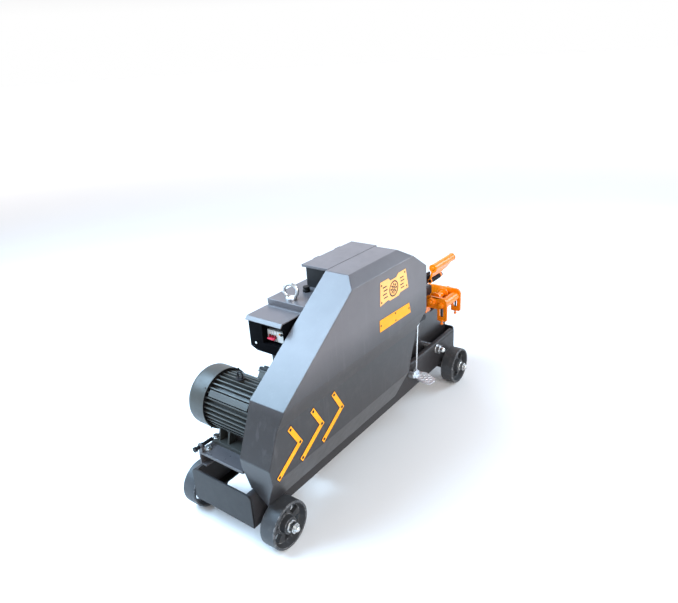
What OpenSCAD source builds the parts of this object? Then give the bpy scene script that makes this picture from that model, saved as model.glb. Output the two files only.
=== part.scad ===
// Rebar cutting machine: a wheeled body with an electric motor, a belt drive,
// a two stage gear train and a crank that pushes a blade along X.
// Millimetres. The ground is z = 0, the rear axle is at x = 0, the head is at +X,
// and the belt guard is on the -Y side, which is called near here.

/* [Wheels] */
// Outer radius of a road wheel
wheel_r = 80; // [70:1:90]
// Width of a wheel's tread
wheel_w = 58; // [45:1:62]
// Gap between the rail's web and the wheel
wheel_gap = 18; // [14:1:24]
// Radius of the axle bars
axle_r = 12.5; // [10:0.5:14]
// Distance between the two axles
wheelbase = 1190; // [1150:5:1215]
// Number of windows in each wheel disc
wheel_windows = 6; // [4:1:8]

/* [Base frame] */
// Width over the two rails
frame_w = 264; // [256:2:280]
// Length of the frame behind the rear axle
frame_rear = 83; // [70:1:100]
// Height of a rail
rail_h = 120; // [110:1:130]
// Width of a rail's top flange
rail_flange = 23; // [21:1:30]
// Width of a rail's bottom flange
rail_foot = 34; // [33:1:46]
// Plate thickness of the rails
rail_t = 7; // [5:0.5:9]
// Radius of the bend along the rails' top outer edge
rail_bend = 15; // [10:1:18]
// Thickness of the cross plates at the frame's ends
end_plate_t = 8; // [5:0.5:9]
// Radius of the tie bolts through rails and body
tie_r = 12; // [8:0.5:14]
// Radius of the four anchor holes in the rails' lower flanges
anchor_r = 9; // [6:0.5:10]

/* [Housing] */
// Width over the housing's side walls
body_w = 154; // [150:1:156]
// Thickness of the housing's walls
body_t = 12; // [10:0.5:14]
// Where the housing starts, ahead of the rear axle
body_x0 = 282; // [275:1:290]
// Length of the housing
body_len = 1018; // [1010:1:1022]
// Height of the housing's flat top above the ground
body_top = 664; // [655:1:672]
// Height of the nose over the slide
nose_top = 472; // [470:1:480]
// Length of the housing's top opening under the cover
cover_len = 490; // [470:1:500]
// Height of the folded cover
cover_h = 20; // [16:1:24]
// Sheet thickness of the cover and the rain hood
cover_t = 4; // [3:0.5:5]
// How far the rain hood reaches behind the housing
hood_len = 94; // [94:1:104]

/* [Throat] */
// Where the throat starts along the machine
throat_x = 1148; // [1146:1:1150]
// Width of the throat along the machine
throat_w = 88; // [86:1:90]
// Height of the throat's floor
throat_floor = 340; // [330:1:345]
// Height of the low part of the front seat
seat_low = 371; // [368:1:372]
// Height of the tall part of the front seat
seat_top = 462; // [460:1:468]

/* [Drive] */
// Radius of the flywheel pulley
flywheel_r = 215; // [205:1:218]
// Radius of the motor pulley
motor_pulley_r = 50; // [46:1:55]
// Number of belts
belt_count = 3; // [2:1:3]
// Distance between neighbouring belts
belt_pitch = 19; // [18:0.5:20]
// Radius of the input shaft
input_shaft_r = 22.5; // [20:0.5:24]
// Radius of the intermediate shaft
mid_shaft_r = 25; // [22:0.5:27]
// Radius of the crankshaft's journals
crank_r = 35; // [30:0.5:37]
// Radius of the eccentric
eccentric_r = 58; // [57.5:0.5:60]
// Throw of the eccentric, half the blade's stroke
throw_r = 22; // [18:0.5:22]
// Module of the first gear pair
module_1 = 4; // [3.9:0.1:4]
// Module of the second gear pair
module_2 = 5; // [4.9:0.1:5]
// Height of the crank's centre and the slide above the ground
slide_z = 415; // [413:0.5:417]

/* [Slide and blades] */
// Width of the slide block
slide_w = 64; // [56:1:66]
// Height of the slide block
slide_h = 86; // [80:1:86]
// Length of the slide block
slide_len = 136; // [130:1:138]
// Thickness of each blade along the rebar
blade_w = 22; // [16:1:24]
// Height of each blade
blade_h = 60; // [50:1:60]
// Opening between the blades at rest
blade_gap = 41; // [38:0.5:44]

/* [Motor] */
// Height of the motor's shaft above its feet
motor_h = 126; // [122:1:130]
// Where the motor's shaft is, ahead of the rear axle
motor_x = 87; // [84:1:92]
// Radius over the cooling fins
fin_r = 96; // [93:0.5:98]
// Height of the fins
fin_h = 17; // [12:0.5:18]
// Thickness of a fin
fin_t = 4.5; // [3:0.5:5]
// Radius of the fan cover
fan_cover_r = 104.5; // [102.5:0.5:109]
// Length of the fan cover
fan_cover_len = 82; // [78:1:90]
// Length of the motor's finned frame
motor_len = 196; // [190:1:200]
// Height of the motor base plate above the rails
motor_base_h = 53; // [48:1:58]
// Thickness of the motor base plate
motor_base_t = 10; // [8:0.5:14]
// Lean of the terminal box from upright, in degrees
terminal_lean = 35; // [28:1:38]

/* [Belt guard] */
// Overhang of the guard beyond the frame's near side
guard_out = 91; // [86:1:96]
// Height of the guard's top above the ground
guard_top = 773; // [768:1:780]
// Height of the guard's lower edge above the ground
guard_low = 170; // [150:1:172]
// Sheet thickness of the guard
guard_t = 2; // [1.5:0.5:3]
// Width of a chevron's strip
chevron_w = 22; // [18:1:30]

/* [Boxes] */
// Length of the tool box
tool_box_len = 276; // [240:2:290]
// Width of the tool box
tool_box_w = 96; // [80:1:100]
// Height of the tool box
tool_box_h = 81; // [60:1:90]
// Sheet thickness of the boxes
box_t = 2; // [1.5:0.5:3]
// Height of the switch box
switch_box_h = 118; // [112:1:124]
// Depth of the switch box
switch_box_d = 92; // [80:1:92]

/* [Roller frame] */
// Plate thickness of the roller brackets
bracket_t = 10; // [8:1:12]
// Clear width between the brackets
bracket_gap = 123; // [118:1:124]
// Reach of the brackets out from the housing's wall
bracket_reach = 100; // [94:1:106]
// Radius of the outer roller
outer_roller_r = 21; // [16:0.5:22]
// Radius of the inner roller's flanges
flange_r = 26; // [22:0.5:28]
// Radius of the inner roller's core
core_r = 13; // [11:0.5:15]
// Radius of the rollers' axles
roller_axle_r = 8; // [6:0.5:9]
// Downward travel of the outer roller
roller_travel = 45; // [20:1:48]

/* [Hold-down] */
// Radius of the hold-down's roller
hold_roller_r = 17; // [12:0.5:18]
// Length of the hold-down's roller
hold_roller_len = 170; // [150:1:176]
// Radius of the hold-down's pivot pin
hold_pin_r = 6.5; // [5:0.5:7]
// Wire radius of the hold-down's spring
spring_wire_r = 2; // [1.5:0.1:2.3]
// Number of turns of the hold-down's spring
spring_turns = 9; // [7:1:9]
// Distance between two turns of the hold-down's spring
spring_pitch = 7.2; // [6.6:0.1:7.4]

/* [Pedal] */
// Length of the pedal's plate along the machine
pedal_len = 78; // [60:1:90]
// Width of the pedal's plate
pedal_w = 88; // [70:1:96]
// Radius of the pull rod
rod_r = 4; // [3:0.5:5]

/* [Hidden] */

$fn = 64;
fit = 0.05;
gap = 0.3;
graphite = [0.27, 0.27, 0.29];
black = [0.05, 0.05, 0.06];
motor_grey = [0.45, 0.48, 0.48];
orange = [0.95, 0.5, 0.06];
zinc = [0.78, 0.8, 0.82];
amber = [0.95, 0.6, 0.08];
cream = [0.93, 0.75, 0.5];
steel = [0.6, 0.61, 0.63];
iron = [0.33, 0.33, 0.35];

// Frame
axle_z = wheel_r;
rail_z0 = axle_z + axle_r + 1;
rail_z1 = rail_z0 + rail_h;
rail_y = frame_w / 2;
frame_x0 = -frame_rear;
body_x1 = body_x0 + body_len;
frame_x1 = body_x1 + end_plate_t;
rail_x1 = frame_x1 - 29;
hanger_w = 32;
wheel_y0 = rail_y + wheel_gap;
wheel_y1 = wheel_y0 + wheel_w;
hub_r = 28;
rim_t = 11;
nut_t = 16;
washer_t = 4;
washer_r = 20;
axle_end = wheel_y1 + gap + washer_t + nut_t;
tie_z = rail_z0 + 94;
tie_x = [body_x0 + 60, body_x1 - 195];
tie_end = [rail_y + washer_t + nut_t + 2, rail_y + washer_t + nut_t + 10];

// Housing
body_y = body_w / 2;
body_z0 = rail_z0 + 12;
slope_x0 = body_x0 + 608;
slope_x1 = body_x0 + 758;
seat_x0 = throat_x + throat_w;
tall_y0 = -12;
tall_y1 = 66;
cover_x0 = body_x0 + 10;
cover_z = body_top + cover_h;

// Drive
motor_base_z = rail_z1 + motor_base_h;
motor_z = motor_base_z + motor_h;
motor_y0 = -80;
motor_y1 = motor_y0 + motor_len;
belt_y = -140;
pulley_w = (belt_count - 1) * belt_pitch + 26;
fly_x = 575;
fly_z = slide_z + 110;
groove_d = 11;
belt_w = 13;
belt_h = 9;
teeth = [15, 60, 17, 51];
mid_dist = (teeth[0] + teeth[1]) / 2 * module_1;
crank_dist = (teeth[2] + teeth[3]) / 2 * module_2;
mid_z = slide_z + 27;
mid_x = fly_x + sqrt(pow(mid_dist, 2) - pow(fly_z - mid_z, 2));
crank_x = mid_x + sqrt(pow(crank_dist, 2) - pow(mid_z - slide_z, 2));
gear_1_y = [-62, -37];
gear_2_y = [36, 62];
bearing_w = 16;
boss_len = 20;
rod_w = 50;
rod_big_r = eccentric_r + 15;
pad_r = 13;

// Slide
slide_x1 = throat_x - 8;
slide_x0 = slide_x1 - slide_len;
shear_y = 27;
blade_clear = 0.2;
blade_z0 = slide_z - 18;
moving_x1 = seat_x0 - 20 - blade_gap;
stroke = 2 * throw_r;
pocket_h = 2 * (pad_r + throw_r + 1);
pad_x = slide_x0 + pad_r + 13;
pocket_x1 = pad_x + pad_r + stroke + 1;

// Guard
guard_y0 = -(body_y + 11);
guard_y1 = -(rail_y + guard_out);
guard_z_mid = guard_top - 280;
panel_in = 13;
bend_y = 9 - rail_y;

// Boxes
switch_x = body_x0 - switch_box_d;
switch_z1 = body_top - cover_t;
switch_z0 = switch_z1 - switch_box_h;
box_x0 = body_x0 + 164;
box_y0 = guard_y0 + 22;

// Roller frame
near_x = throat_x - 38;
far_x = near_x + bracket_t + bracket_gap;
bracket_z1 = seat_low + 61;
bracket_y = -(body_y + bracket_reach);
leg_w = 46;
leg_y = bracket_y + 26;
outer_z = seat_low + 27;
leg_lug = 6;
leg_z0 = outer_z - roller_travel - outer_roller_r - leg_lug - 2;
inner_y = -(body_y + 28);
inner_z = seat_low + 41;
slot_w = 2 * roller_axle_r + 1;
screw_r = 4;
nut_r = roller_axle_r + 10;

// Hold-down
hold_pin_y = -(body_y + 20);
hold_pin_z = nose_top + 32;
hold_x0 = throat_x - 42;
hold_y = hold_pin_y - 14;
hold_z = hold_pin_z + 59;
hold_ear_x = hold_x0 + 7;
spring_x0 = hold_ear_x + 10;
spring_coil_r = hold_pin_r + spring_wire_r + 1.2;
spring_x1 = spring_x0 + spring_turns * spring_pitch + 2 * spring_wire_r;

// Pedal
pedal_x = throat_x - 284;
pedal_z = rail_z0 + 80;
rod_y = -(rail_y + 11);
pedal_bolt_r = 8;
pedal_y0 = rod_y - 8.5;
rod_bottom = [pedal_x + 37, pedal_z];
rod_top = [pedal_x + 51, pedal_z + 216];
lever_x = rod_top[0] + 70;
lever_r = 12;

// A cylinder along Y between two places
module ycyl(r, y0, y1, x = 0, z = 0) {
    translate([x, y0, z]) rotate([-90, 0, 0]) cylinder(r = r, h = y1 - y0);
}

// A cylinder along X between two places
module xcyl(r, x0, x1, y = 0, z = 0) {
    translate([x0, y, z]) rotate([0, 90, 0]) cylinder(r = r, h = x1 - x0);
}

// A cylinder along Z between two heights
module zcyl(r, z0, z1, x = 0, y = 0) {
    translate([x, y, z0]) cylinder(r = r, h = z1 - z0);
}

// A box between two opposite corners
module block(a, b) {
    translate(a) cube(b - a);
}

// An outline in X and Z, extruded along Y
module side_plate(points, y0, y1) {
    translate([0, y1, 0]) rotate([90, 0, 0]) linear_extrude(y1 - y0) polygon(points);
}

// An outline in Y and Z, extruded along X
module cross_plate(points, x0, x1) {
    translate([x0, 0, 0]) rotate([90, 0, 90]) linear_extrude(x1 - x0) polygon(points);
}

// A hexagonal nut or bolt head along Y
module yhex(r, y0, y1, x, z) {
    translate([x, y0, z]) rotate([-90, 0, 0]) cylinder(r = r, h = y1 - y0, $fn = 6);
}

// A hexagonal nut or bolt head along Z
module zhex(r, z0, z1, x, y) {
    translate([x, y, z0]) cylinder(r = r, h = z1 - z0, $fn = 6);
}

// A spur gear's outline, with straight sided teeth that just miss the mating ones
function gear_points(count, m) = let (r = count * m / 2, step = 360 / count)
    [for (i = [0 : count - 1]) for (p = [[-0.3, -1.2], [-0.15, -0.05], [0.15, -0.05], [0.3, -1.2]])
        let (a = (i + p[0]) * step, q = r + p[1] * m) [q * cos(a), q * sin(a)]];

module gear(count, m, y, x, z) {
    translate([x, y[1], z]) rotate([90, 0, 0]) linear_extrude(y[1] - y[0]) polygon(gear_points(count, m));
}

// The bend along a rail's top outer edge for the side s, with the radius r
function bend(s, r, angles) = [for (a = angles)
    [s * (rail_y - rail_bend + r * cos(a)), rail_z1 - rail_bend + r * sin(a)]];

// Rail section in Y and Z for the side s
function rail_points(s) = concat([[s * rail_y, rail_z0]], bend(s, rail_bend, [0 : 15 : 90]),
    [[s * (rail_y - rail_flange), rail_z1], [s * (rail_y - rail_flange), rail_z1 - rail_t]],
    bend(s, rail_bend - rail_t, [90 : -15 : 0]),
    [[s * (rail_y - rail_t), rail_z0 + rail_t], [s * (rail_y - rail_foot), rail_z0 + rail_t],
    [s * (rail_y - rail_foot), rail_z0]]);

module rail(s) {
    anchor_y = s * (rail_y - rail_foot / 2 - rail_t / 2);
    color(graphite) difference() {
        cross_plate(rail_points(s), frame_x0 + end_plate_t, rail_x1);
        for (x = tie_x) ycyl(tie_r + gap, -rail_y - 1, rail_y + 1, x, tie_z);
        for (x = [wheelbase * 0.17, wheelbase * 0.83]) {
            zcyl(anchor_r, rail_z0 - 1, rail_z0 + rail_t + 1, x, anchor_y);
        }
        if (s < 0) ycyl(pedal_bolt_r + fit, -rail_y - 1, 0, pedal_x, pedal_z);
    }
}

module near_rail() { rail(-1); }
module far_rail() { rail(1); }

// The rear plate is flat and the front one is bent round the frame's corners
module end_plates() {
    outline = concat([[-rail_y, rail_z0], [rail_y, rail_z0]], bend(1, rail_bend, [0 : 15 : 90]),
        bend(-1, rail_bend, [90 : -15 : 0]));
    x1 = frame_x1;
    t = end_plate_t;
    outer = [[rail_x1, rail_y], [x1 - 11, rail_y - 11], [x1, rail_y - 24]];
    inner = [[x1 - t, rail_y - 28], [x1 - t - 8, rail_y - 17], [rail_x1, rail_y - t]];
    plan = concat(outer, [for (i = [2 : -1 : 0]) [outer[i][0], -outer[i][1]]],
        [for (i = [2 : -1 : 0]) [inner[i][0], -inner[i][1]]], inner);
    color(graphite) {
        cross_plate(outline, frame_x0, frame_x0 + t);
        intersection() {
            cross_plate(outline, rail_x1, x1);
            translate([0, 0, rail_z0]) linear_extrude(rail_h) polygon(plan);
        }
    }
}

module axle_hangers() {
    color(graphite) for (x = [0, wheelbase]) for (s = [-1, 1]) difference() {
        block([x - 25, min(s * rail_y, s * (rail_y - hanger_w)), axle_z - axle_r - 8],
            [x + 25, max(s * rail_y, s * (rail_y - hanger_w)), rail_z0]);
        ycyl(axle_r, -rail_y - 1, rail_y + 1, x, axle_z);
    }
}

module axles() {
    color(steel) for (x = [0, wheelbase]) {
        ycyl(axle_r, -axle_end - 4, axle_end + 4, x, axle_z);
        for (s = [-1, 1]) translate([x, s * (axle_end + 4), axle_z]) scale([1, 1, 1]) sphere(r = axle_r * 0.8);
    }
}

// Inner collar, washer and nut at each wheel
module axle_nuts() {
    color(zinc) for (x = [0, wheelbase]) for (s = [0, 180]) rotate([0, 0, 0]) translate([x, 0, axle_z])
        rotate([0, 0, s]) difference() {
            union() {
                ycyl(axle_r + 6, rail_y, wheel_y0 - gap);
                ycyl(washer_r, wheel_y1 + gap, wheel_y1 + gap + washer_t);
                yhex(axle_r + 6, wheel_y1 + gap + washer_t, axle_end, 0, 0);
            }
            ycyl(axle_r, 0, axle_end + 1);
        }
}

module tie_bolts() {
    spacer_r = tie_r + 6;
    color(zinc) for (x = tie_x) {
        difference() {
            union() {
                for (s = [0, 180]) rotate([0, 0, 0]) translate([x, 0, tie_z]) rotate([0, 0, s]) {
                    ycyl(spacer_r, body_y, rail_y - rail_t);
                    ycyl(washer_r, rail_y, rail_y + washer_t);
                    yhex(tie_r + 7, rail_y + washer_t, rail_y + washer_t + nut_t, 0, 0);
                }
            }
            ycyl(tie_r, -rail_y - 30, rail_y + 30, x, tie_z);
            for (s = [-1, 1]) block([x - spacer_r, min(s * (rail_y - rail_bend), s * (rail_y - rail_t)), rail_z1 - rail_bend],
                [x + spacer_r, max(s * (rail_y - rail_bend), s * (rail_y - rail_t)), rail_z1]);
        }
        end = x == tie_x[0] ? tie_end[0] : tie_end[1];
        ycyl(tie_r, -end, end, x, tie_z);
        for (s = [-1, 1]) translate([x, s * end, tie_z]) sphere(r = tie_r);
    }
    // The pedal's pivot bolt, with its head outside the pedal and its nut inside the rail
    color(zinc) {
        ycyl(pedal_bolt_r, pedal_y0 - 5, -rail_y + rail_t + 12, pedal_x, pedal_z);
        ycyl(pedal_bolt_r + 4, pedal_y0 - 5, pedal_y0 - gap, pedal_x, pedal_z);
        yhex(pedal_bolt_r + 5, -rail_y + rail_t, -rail_y + rail_t + 8, pedal_x, pedal_z);
    }
}

// A cast wheel with windows between its spokes
module wheel(x, s) {
    y0 = s > 0 ? wheel_y0 : -wheel_y1;
    mid = y0 + wheel_w / 2;
    window_r = [hub_r + 8, wheel_r - rim_t - 5];
    step = 360 / wheel_windows;
    color(iron) translate([x, y0, axle_z]) rotate([-90, 0, 0]) difference() {
        rotate_extrude() polygon([[axle_r + fit, 0], [hub_r, 0], [hub_r + 2, wheel_w / 2 - 8],
            [wheel_r - rim_t - 3, wheel_w / 2 - 6], [wheel_r - rim_t + 3, 0], [wheel_r - 2, 0], [wheel_r, 3],
            [wheel_r, wheel_w - 3], [wheel_r - 2, wheel_w], [wheel_r - rim_t + 3, wheel_w],
            [wheel_r - rim_t - 3, wheel_w / 2 + 6], [hub_r + 2, wheel_w / 2 + 8], [hub_r, wheel_w],
            [axle_r + fit, wheel_w]]);
        for (i = [0 : wheel_windows - 1]) rotate([0, 0, i * step + 8])
            rotate_extrude(angle = step - 26) translate([window_r[0], wheel_w / 2 - 12])
                square([window_r[1] - window_r[0], 24]);
    }
}

module wheel_rear_near() { wheel(0, -1); }
module wheel_rear_far() { wheel(0, 1); }
module wheel_front_near() { wheel(wheelbase, -1); }
module wheel_front_far() { wheel(wheelbase, 1); }

// Motor base
base_x0 = motor_x - 140;
base_x1 = motor_x + 113;
base_y = rail_y - 12;
lug_y = base_y - 6;
lug_z = motor_base_z + 16;
base_notch = 14;
foot_x = 84;
foot_t = 14;
foot_y = [motor_y0 + 20, base_y];

module motor_base() {
    color(graphite) difference() {
        union() {
            translate([0, 0, motor_base_z - motor_base_t]) linear_extrude(motor_base_t)
                polygon([[base_x0, base_y], [base_x0, guard_y0 + 8], [base_x0 + base_notch, guard_y0 + 8],
                [base_x0 + base_notch, -base_y], [base_x1, -base_y], [base_x1, base_y]]);
            block([base_x0, lug_y - 12, motor_base_z - 1], [base_x0 + 8, base_y, lug_z + 10]);
            for (s = [-1, 1]) difference() {
                x0 = s > 0 ? base_x0 : base_x0 + base_notch;
                block([x0, min(s * (base_y - 28), s * base_y), rail_z1],
                    [base_x1, max(s * (base_y - 28), s * base_y), motor_base_z - motor_base_t]);
                block([x0 - 1, s > 0 ? base_y - 29 : -base_y + 6, rail_z1 + 6],
                    [base_x1 + 1, s > 0 ? base_y - 6 : -base_y + 29, motor_base_z - motor_base_t + 1]);
            }
        }
        xcyl(6 + fit, base_x0 - 1, base_x0 + 9, lug_y, lug_z);
        for (p = base_bolts()) zcyl(6 + gap, motor_base_z - 20, motor_base_z + 1, p[0], p[1]);
        for (p = foot_bolts()) zcyl(6 + gap, motor_base_z - 20, motor_base_z + 1, p[0], p[1]);
    }
}

function base_bolts() = [for (x = [base_x0 + 25, base_x1 - 10]) for (y = [13 - lug_y, lug_y - 13]) [x, y]];
function foot_bolts() = [for (s = [-1, 1]) for (y = [foot_y[0] + 25, foot_y[1] - 11]) [motor_x + s * 70, y]];

module tension_screw() {
    color(zinc) {
        xcyl(6, base_x0 - 16, motor_x - foot_x, lug_y, lug_z);
        translate([base_x0 - 20, lug_y, lug_z]) rotate([0, 90, 0]) cylinder(r = 10, h = 8, $fn = 6);
        translate([base_x0 + 8, lug_y, lug_z]) rotate([0, 90, 0]) difference() {
            cylinder(r = 10, h = 8, $fn = 6);
            translate([0, 0, -1]) cylinder(r = 5.9, h = 10);
        }
    }
}

module hex_bolt(x, y, z_under, z_top) {
    zcyl(6, z_under, z_top + 9, x, y);
    zcyl(12, z_top, z_top + 2.5, x, y);
    zhex(10.5, z_top + 2.5, z_top + 10, x, y);
}

module motor_bolts() {
    color(zinc) {
        for (p = base_bolts()) hex_bolt(p[0], p[1], motor_base_z - motor_base_t - 6, motor_base_z);
        for (p = foot_bolts()) hex_bolt(p[0], p[1], motor_base_z - motor_base_t, motor_base_z + foot_t);
    }
}

fin_root = fin_r - fin_h;
stator_bore = 51;

module motor_frame() {
    color(motor_grey) difference() {
        union() {
            ycyl(fin_root, motor_y0, motor_y1, motor_x, motor_z);
            for (a = [-40 : 10 : 220]) translate([motor_x, motor_y0, motor_z]) rotate([0, -a, 0])
                translate([fin_root - 2, 0, -fin_t / 2]) cube([fin_h + 2, motor_len, fin_t]);
            for (a = [40, 140]) translate([motor_x, motor_y0 + 12, motor_z]) rotate([0, -a, 0])
                translate([fin_root - 2, 0, -11]) cube([fin_h + 3, motor_len - 24, 22]);
            translate([motor_x, motor_y0, motor_z]) rotate([0, terminal_lean, 0])
                translate([-22, 0, fin_root - 2]) cube([44, 66, fin_h + 4]);
            zcyl(13, motor_z + fin_root - 2, motor_z + fin_r + 1, motor_x, 31);
            for (s = [-1, 1]) {
                block([min(motor_x + s * foot_x, motor_x + s * 40), foot_y[0], motor_base_z],
                    [max(motor_x + s * foot_x, motor_x + s * 40), foot_y[1], motor_base_z + foot_t]);
                for (y = [foot_y[0], motor_y1 - 74, motor_y1 - 32])
                    side_plate([[motor_x + s * (foot_x - 4), motor_base_z], [motor_x + s * 40, motor_base_z],
                        [motor_x + s * 44, motor_z - fin_root + 18],
                        [motor_x + s * 60, motor_z - fin_root + 30]], y, y + 8);
            }
        }
        ycyl(fin_root - 8, motor_y0 - 1, motor_y1 + 1, motor_x, motor_z);
        for (p = foot_bolts()) zcyl(6 + gap, motor_base_z - 1, motor_base_z + foot_t + 1, p[0], p[1]);
        zcyl(8, motor_z + fin_root + 4, motor_z + fin_r + 3, motor_x, 31);
    }
}

module motor_end_shields() {
    color(motor_grey) for (y = [motor_y0, motor_y1 - 12]) difference() {
        union() {
            ycyl(fin_root - 8, y, y + 12, motor_x, motor_z);
            ycyl(40, y, y + 20, motor_x, motor_z);
        }
        ycyl(31, y - 1, y + 21, motor_x, motor_z);
    }
}

module stator() {
    color([0.5, 0.3, 0.15]) difference() {
        union() {
            ycyl(fin_root - 8, motor_y0 + 50, motor_y1 - 40, motor_x, motor_z);
            ycyl(70, motor_y0 + 32, motor_y1 - 24, motor_x, motor_z);
        }
        ycyl(stator_bore, motor_y0, motor_y1, motor_x, motor_z);
    }
}

module fan_cover() {
    y0 = motor_y1 - 4;
    color(motor_grey) translate([motor_x, y0, motor_z]) rotate([-90, 0, 0]) difference() {
        rotate_extrude() polygon(concat([[fan_cover_r - 2, 0], [fan_cover_r, 0]],
            [for (a = [0 : 15 : 90]) [fan_cover_r - 24 + 24 * cos(a), fan_cover_len - 24 + 24 * sin(a)]],
            [[0, fan_cover_len], [0, fan_cover_len - 2]],
            [for (a = [90 : -15 : 0]) [fan_cover_r - 24 + 22 * cos(a), fan_cover_len - 24 + 22 * sin(a)]]));
        for (r = [26, 44, 62, 80]) for (i = [0 : 3]) rotate([0, 0, i * 90 + 6])
            rotate_extrude(angle = 78) translate([r, fan_cover_len - 3]) square([9, 5]);
    }
    color(zinc) for (a = [45 : 90 : 315]) translate([motor_x, y0 + 9, motor_z]) rotate([0, -a, 0])
        translate([fin_root, 0, 0]) rotate([0, 90, 0]) cylinder(r = 3, h = fan_cover_r + 3 - fin_root);
}

// The box leans toward the gearbox and stands on its own pad
module terminal_box() {
    y0 = motor_y0 - 8;
    y1 = motor_y0 + 68;
    z0 = fin_r + 2;
    z1 = fin_r + 30;
    translate([motor_x, 0, motor_z]) rotate([0, terminal_lean, 0]) {
        color(motor_grey) difference() {
            block([-32, y0, z0], [32, y1, z1]);
            block([-28, y0 + 4, z0 + 4], [28, y1 - 4, z1 + 1]);
            xcyl(7, 20, 33, (y0 + y1) / 2, z0 + 15);
        }
        color(black) block([-36, y0 - 2, z1], [36, y1 + 2, z1 + 17]);
        color(black) difference() {
            xcyl(11, 32, 46, (y0 + y1) / 2, z0 + 15);
            xcyl(7, 31, 47, (y0 + y1) / 2, z0 + 15);
        }
    }
}

module ring_eye(x, y, z, ring_r, wire_r, shank_r, shank, turn = 0) {
    translate([x, y, z + ring_r + wire_r]) rotate([0, 90, turn])
        rotate_extrude() translate([ring_r, 0]) circle(r = wire_r);
    zcyl(shank_r * 1.9, z, z + wire_r * 1.3, x, y);
    zcyl(shank_r, z - shank, z + 1, x, y);
}

module motor_eye_bolt() {
    color(zinc) ring_eye(motor_x, 31, motor_z + fin_r + 1, 11, 3, 8 - fit, 12);
}

module rotor() {
    color(steel) {
        ycyl(stator_bore - 0.5, motor_y0 + 52, motor_y1 - 42, motor_x, motor_z);
        ycyl(17, motor_y0 + 24, motor_y1 + 44, motor_x, motor_z);
        ycyl(15 - fit, belt_y - pulley_w / 2 + 2, motor_y0 + 30, motor_x, motor_z);
    }
    color(black) {
        ycyl(30, motor_y1 + 22, motor_y1 + 40, motor_x, motor_z);
        for (i = [0 : 8]) translate([motor_x, motor_y1 + 22, motor_z]) rotate([0, i * 40, 0])
            translate([28, 0, -2]) cube([fan_cover_r - 44, 22, 4]);
    }
}

// A grooved pulley along Y, with its grooves centred on the belts
module grooves(r) {
    for (i = [0 : belt_count - 1]) {
        y = belt_y + (i - (belt_count - 1) / 2) * belt_pitch;
        translate([0, y, 0]) rotate([-90, 0, 0]) rotate_extrude()
            translate([r - groove_d, -belt_w / 2 - gap]) square([groove_d + 1, belt_w + 2 * gap]);
    }
}

module motor_pulley() {
    color(iron) translate([motor_x, 0, motor_z]) difference() {
        ycyl(motor_pulley_r, belt_y - pulley_w / 2, belt_y + pulley_w / 2);
        grooves(motor_pulley_r);
        ycyl(15, belt_y - pulley_w, belt_y + pulley_w);
    }
}

module flywheel_pulley() {
    y0 = belt_y - pulley_w / 2;
    y1 = belt_y + pulley_w / 2;
    color(iron) translate([fly_x, 0, fly_z]) difference() {
        ycyl(flywheel_r, y0, y1);
        grooves(flywheel_r);
        ycyl(flywheel_r - 30, y0 - 1, belt_y - 9);
        ycyl(flywheel_r - 30, belt_y + 9, y1 + 1);
        for (i = [0 : 5]) rotate([0, i * 60, 0]) ycyl(34, y0 - 1, y1 + 1, 118, 0);
        ycyl(input_shaft_r, y0 - 1, y1 + 1);
    }
    color(iron) difference() {
        ycyl(input_shaft_r + 25, y0 + 4, y1 - 8, fly_x, fly_z);
        ycyl(input_shaft_r, y0 - 1, y1 + 1, fly_x, fly_z);
        ycyl(input_shaft_r + 30, belt_y - 9, belt_y + 9, fly_x, fly_z);
    }
}

// The outline round two pulleys, the first one at the origin and the second one at [dx, dz]
function belt_points(ra, rb, dx, dz) = let (turn = atan2(dz, dx), lean = acos((ra - rb) / norm([dx, dz])))
    concat([for (i = [0 : 16]) let (a = turn + lean + (360 - 2 * lean) * i / 16) [ra * cos(a), ra * sin(a)]],
        [for (i = [0 : 48]) let (a = turn - lean + 2 * lean * i / 48) [dx + rb * cos(a), dz + rb * sin(a)]]);

module v_belts() {
    ra = motor_pulley_r - groove_d + gap;
    rb = flywheel_r - groove_d + gap;
    dx = fly_x - motor_x;
    dz = fly_z - motor_z;
    color(black) for (i = [0 : belt_count - 1]) {
        y = belt_y + (i - (belt_count - 1) / 2) * belt_pitch;
        translate([motor_x, y + belt_w / 2, motor_z]) rotate([90, 0, 0]) linear_extrude(belt_w)
            difference() {
                polygon(belt_points(ra + belt_h, rb + belt_h, dx, dz));
                polygon(belt_points(ra, rb, dx, dz));
            }
    }
}

module input_shaft() {
    color(steel) {
        ycyl(input_shaft_r, belt_y - pulley_w / 2 - 4, body_y + boss_len - 4, fly_x, fly_z);
        gear(teeth[0], module_1, gear_1_y, fly_x, fly_z);
    }
}

module mid_shaft() {
    color(steel) {
        ycyl(mid_shaft_r, -body_y - boss_len + 4, body_y + boss_len - 4, mid_x, mid_z);
        gear(teeth[2], module_2, gear_2_y, mid_x, mid_z);
        difference() {
            gear(teeth[1], module_1, gear_1_y, mid_x, mid_z);
            for (y = [gear_1_y[0] - 1, gear_1_y[1] - 7]) difference() {
                ycyl(100, y, y + 8, mid_x, mid_z);
                ycyl(48, y - 1, y + 9, mid_x, mid_z);
            }
        }
    }
}

// The rest pose is the rear dead centre
ecc_x = crank_x - throw_r;

module crankshaft() {
    color(steel) {
        ycyl(crank_r, -body_y - boss_len + 4, body_y + boss_len - 4, crank_x, slide_z);
        ycyl(eccentric_r, -rod_w / 2 - 1, rod_w / 2 + 1, ecc_x, slide_z);
        difference() {
            gear(teeth[3], module_2, gear_2_y, crank_x, slide_z);
            for (y = [gear_2_y[0] - 1, gear_2_y[1] - 7]) difference() {
                ycyl(104, y, y + 8, crank_x, slide_z);
                ycyl(62, y - 1, y + 9, crank_x, slide_z);
            }
        }
    }
}

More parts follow.
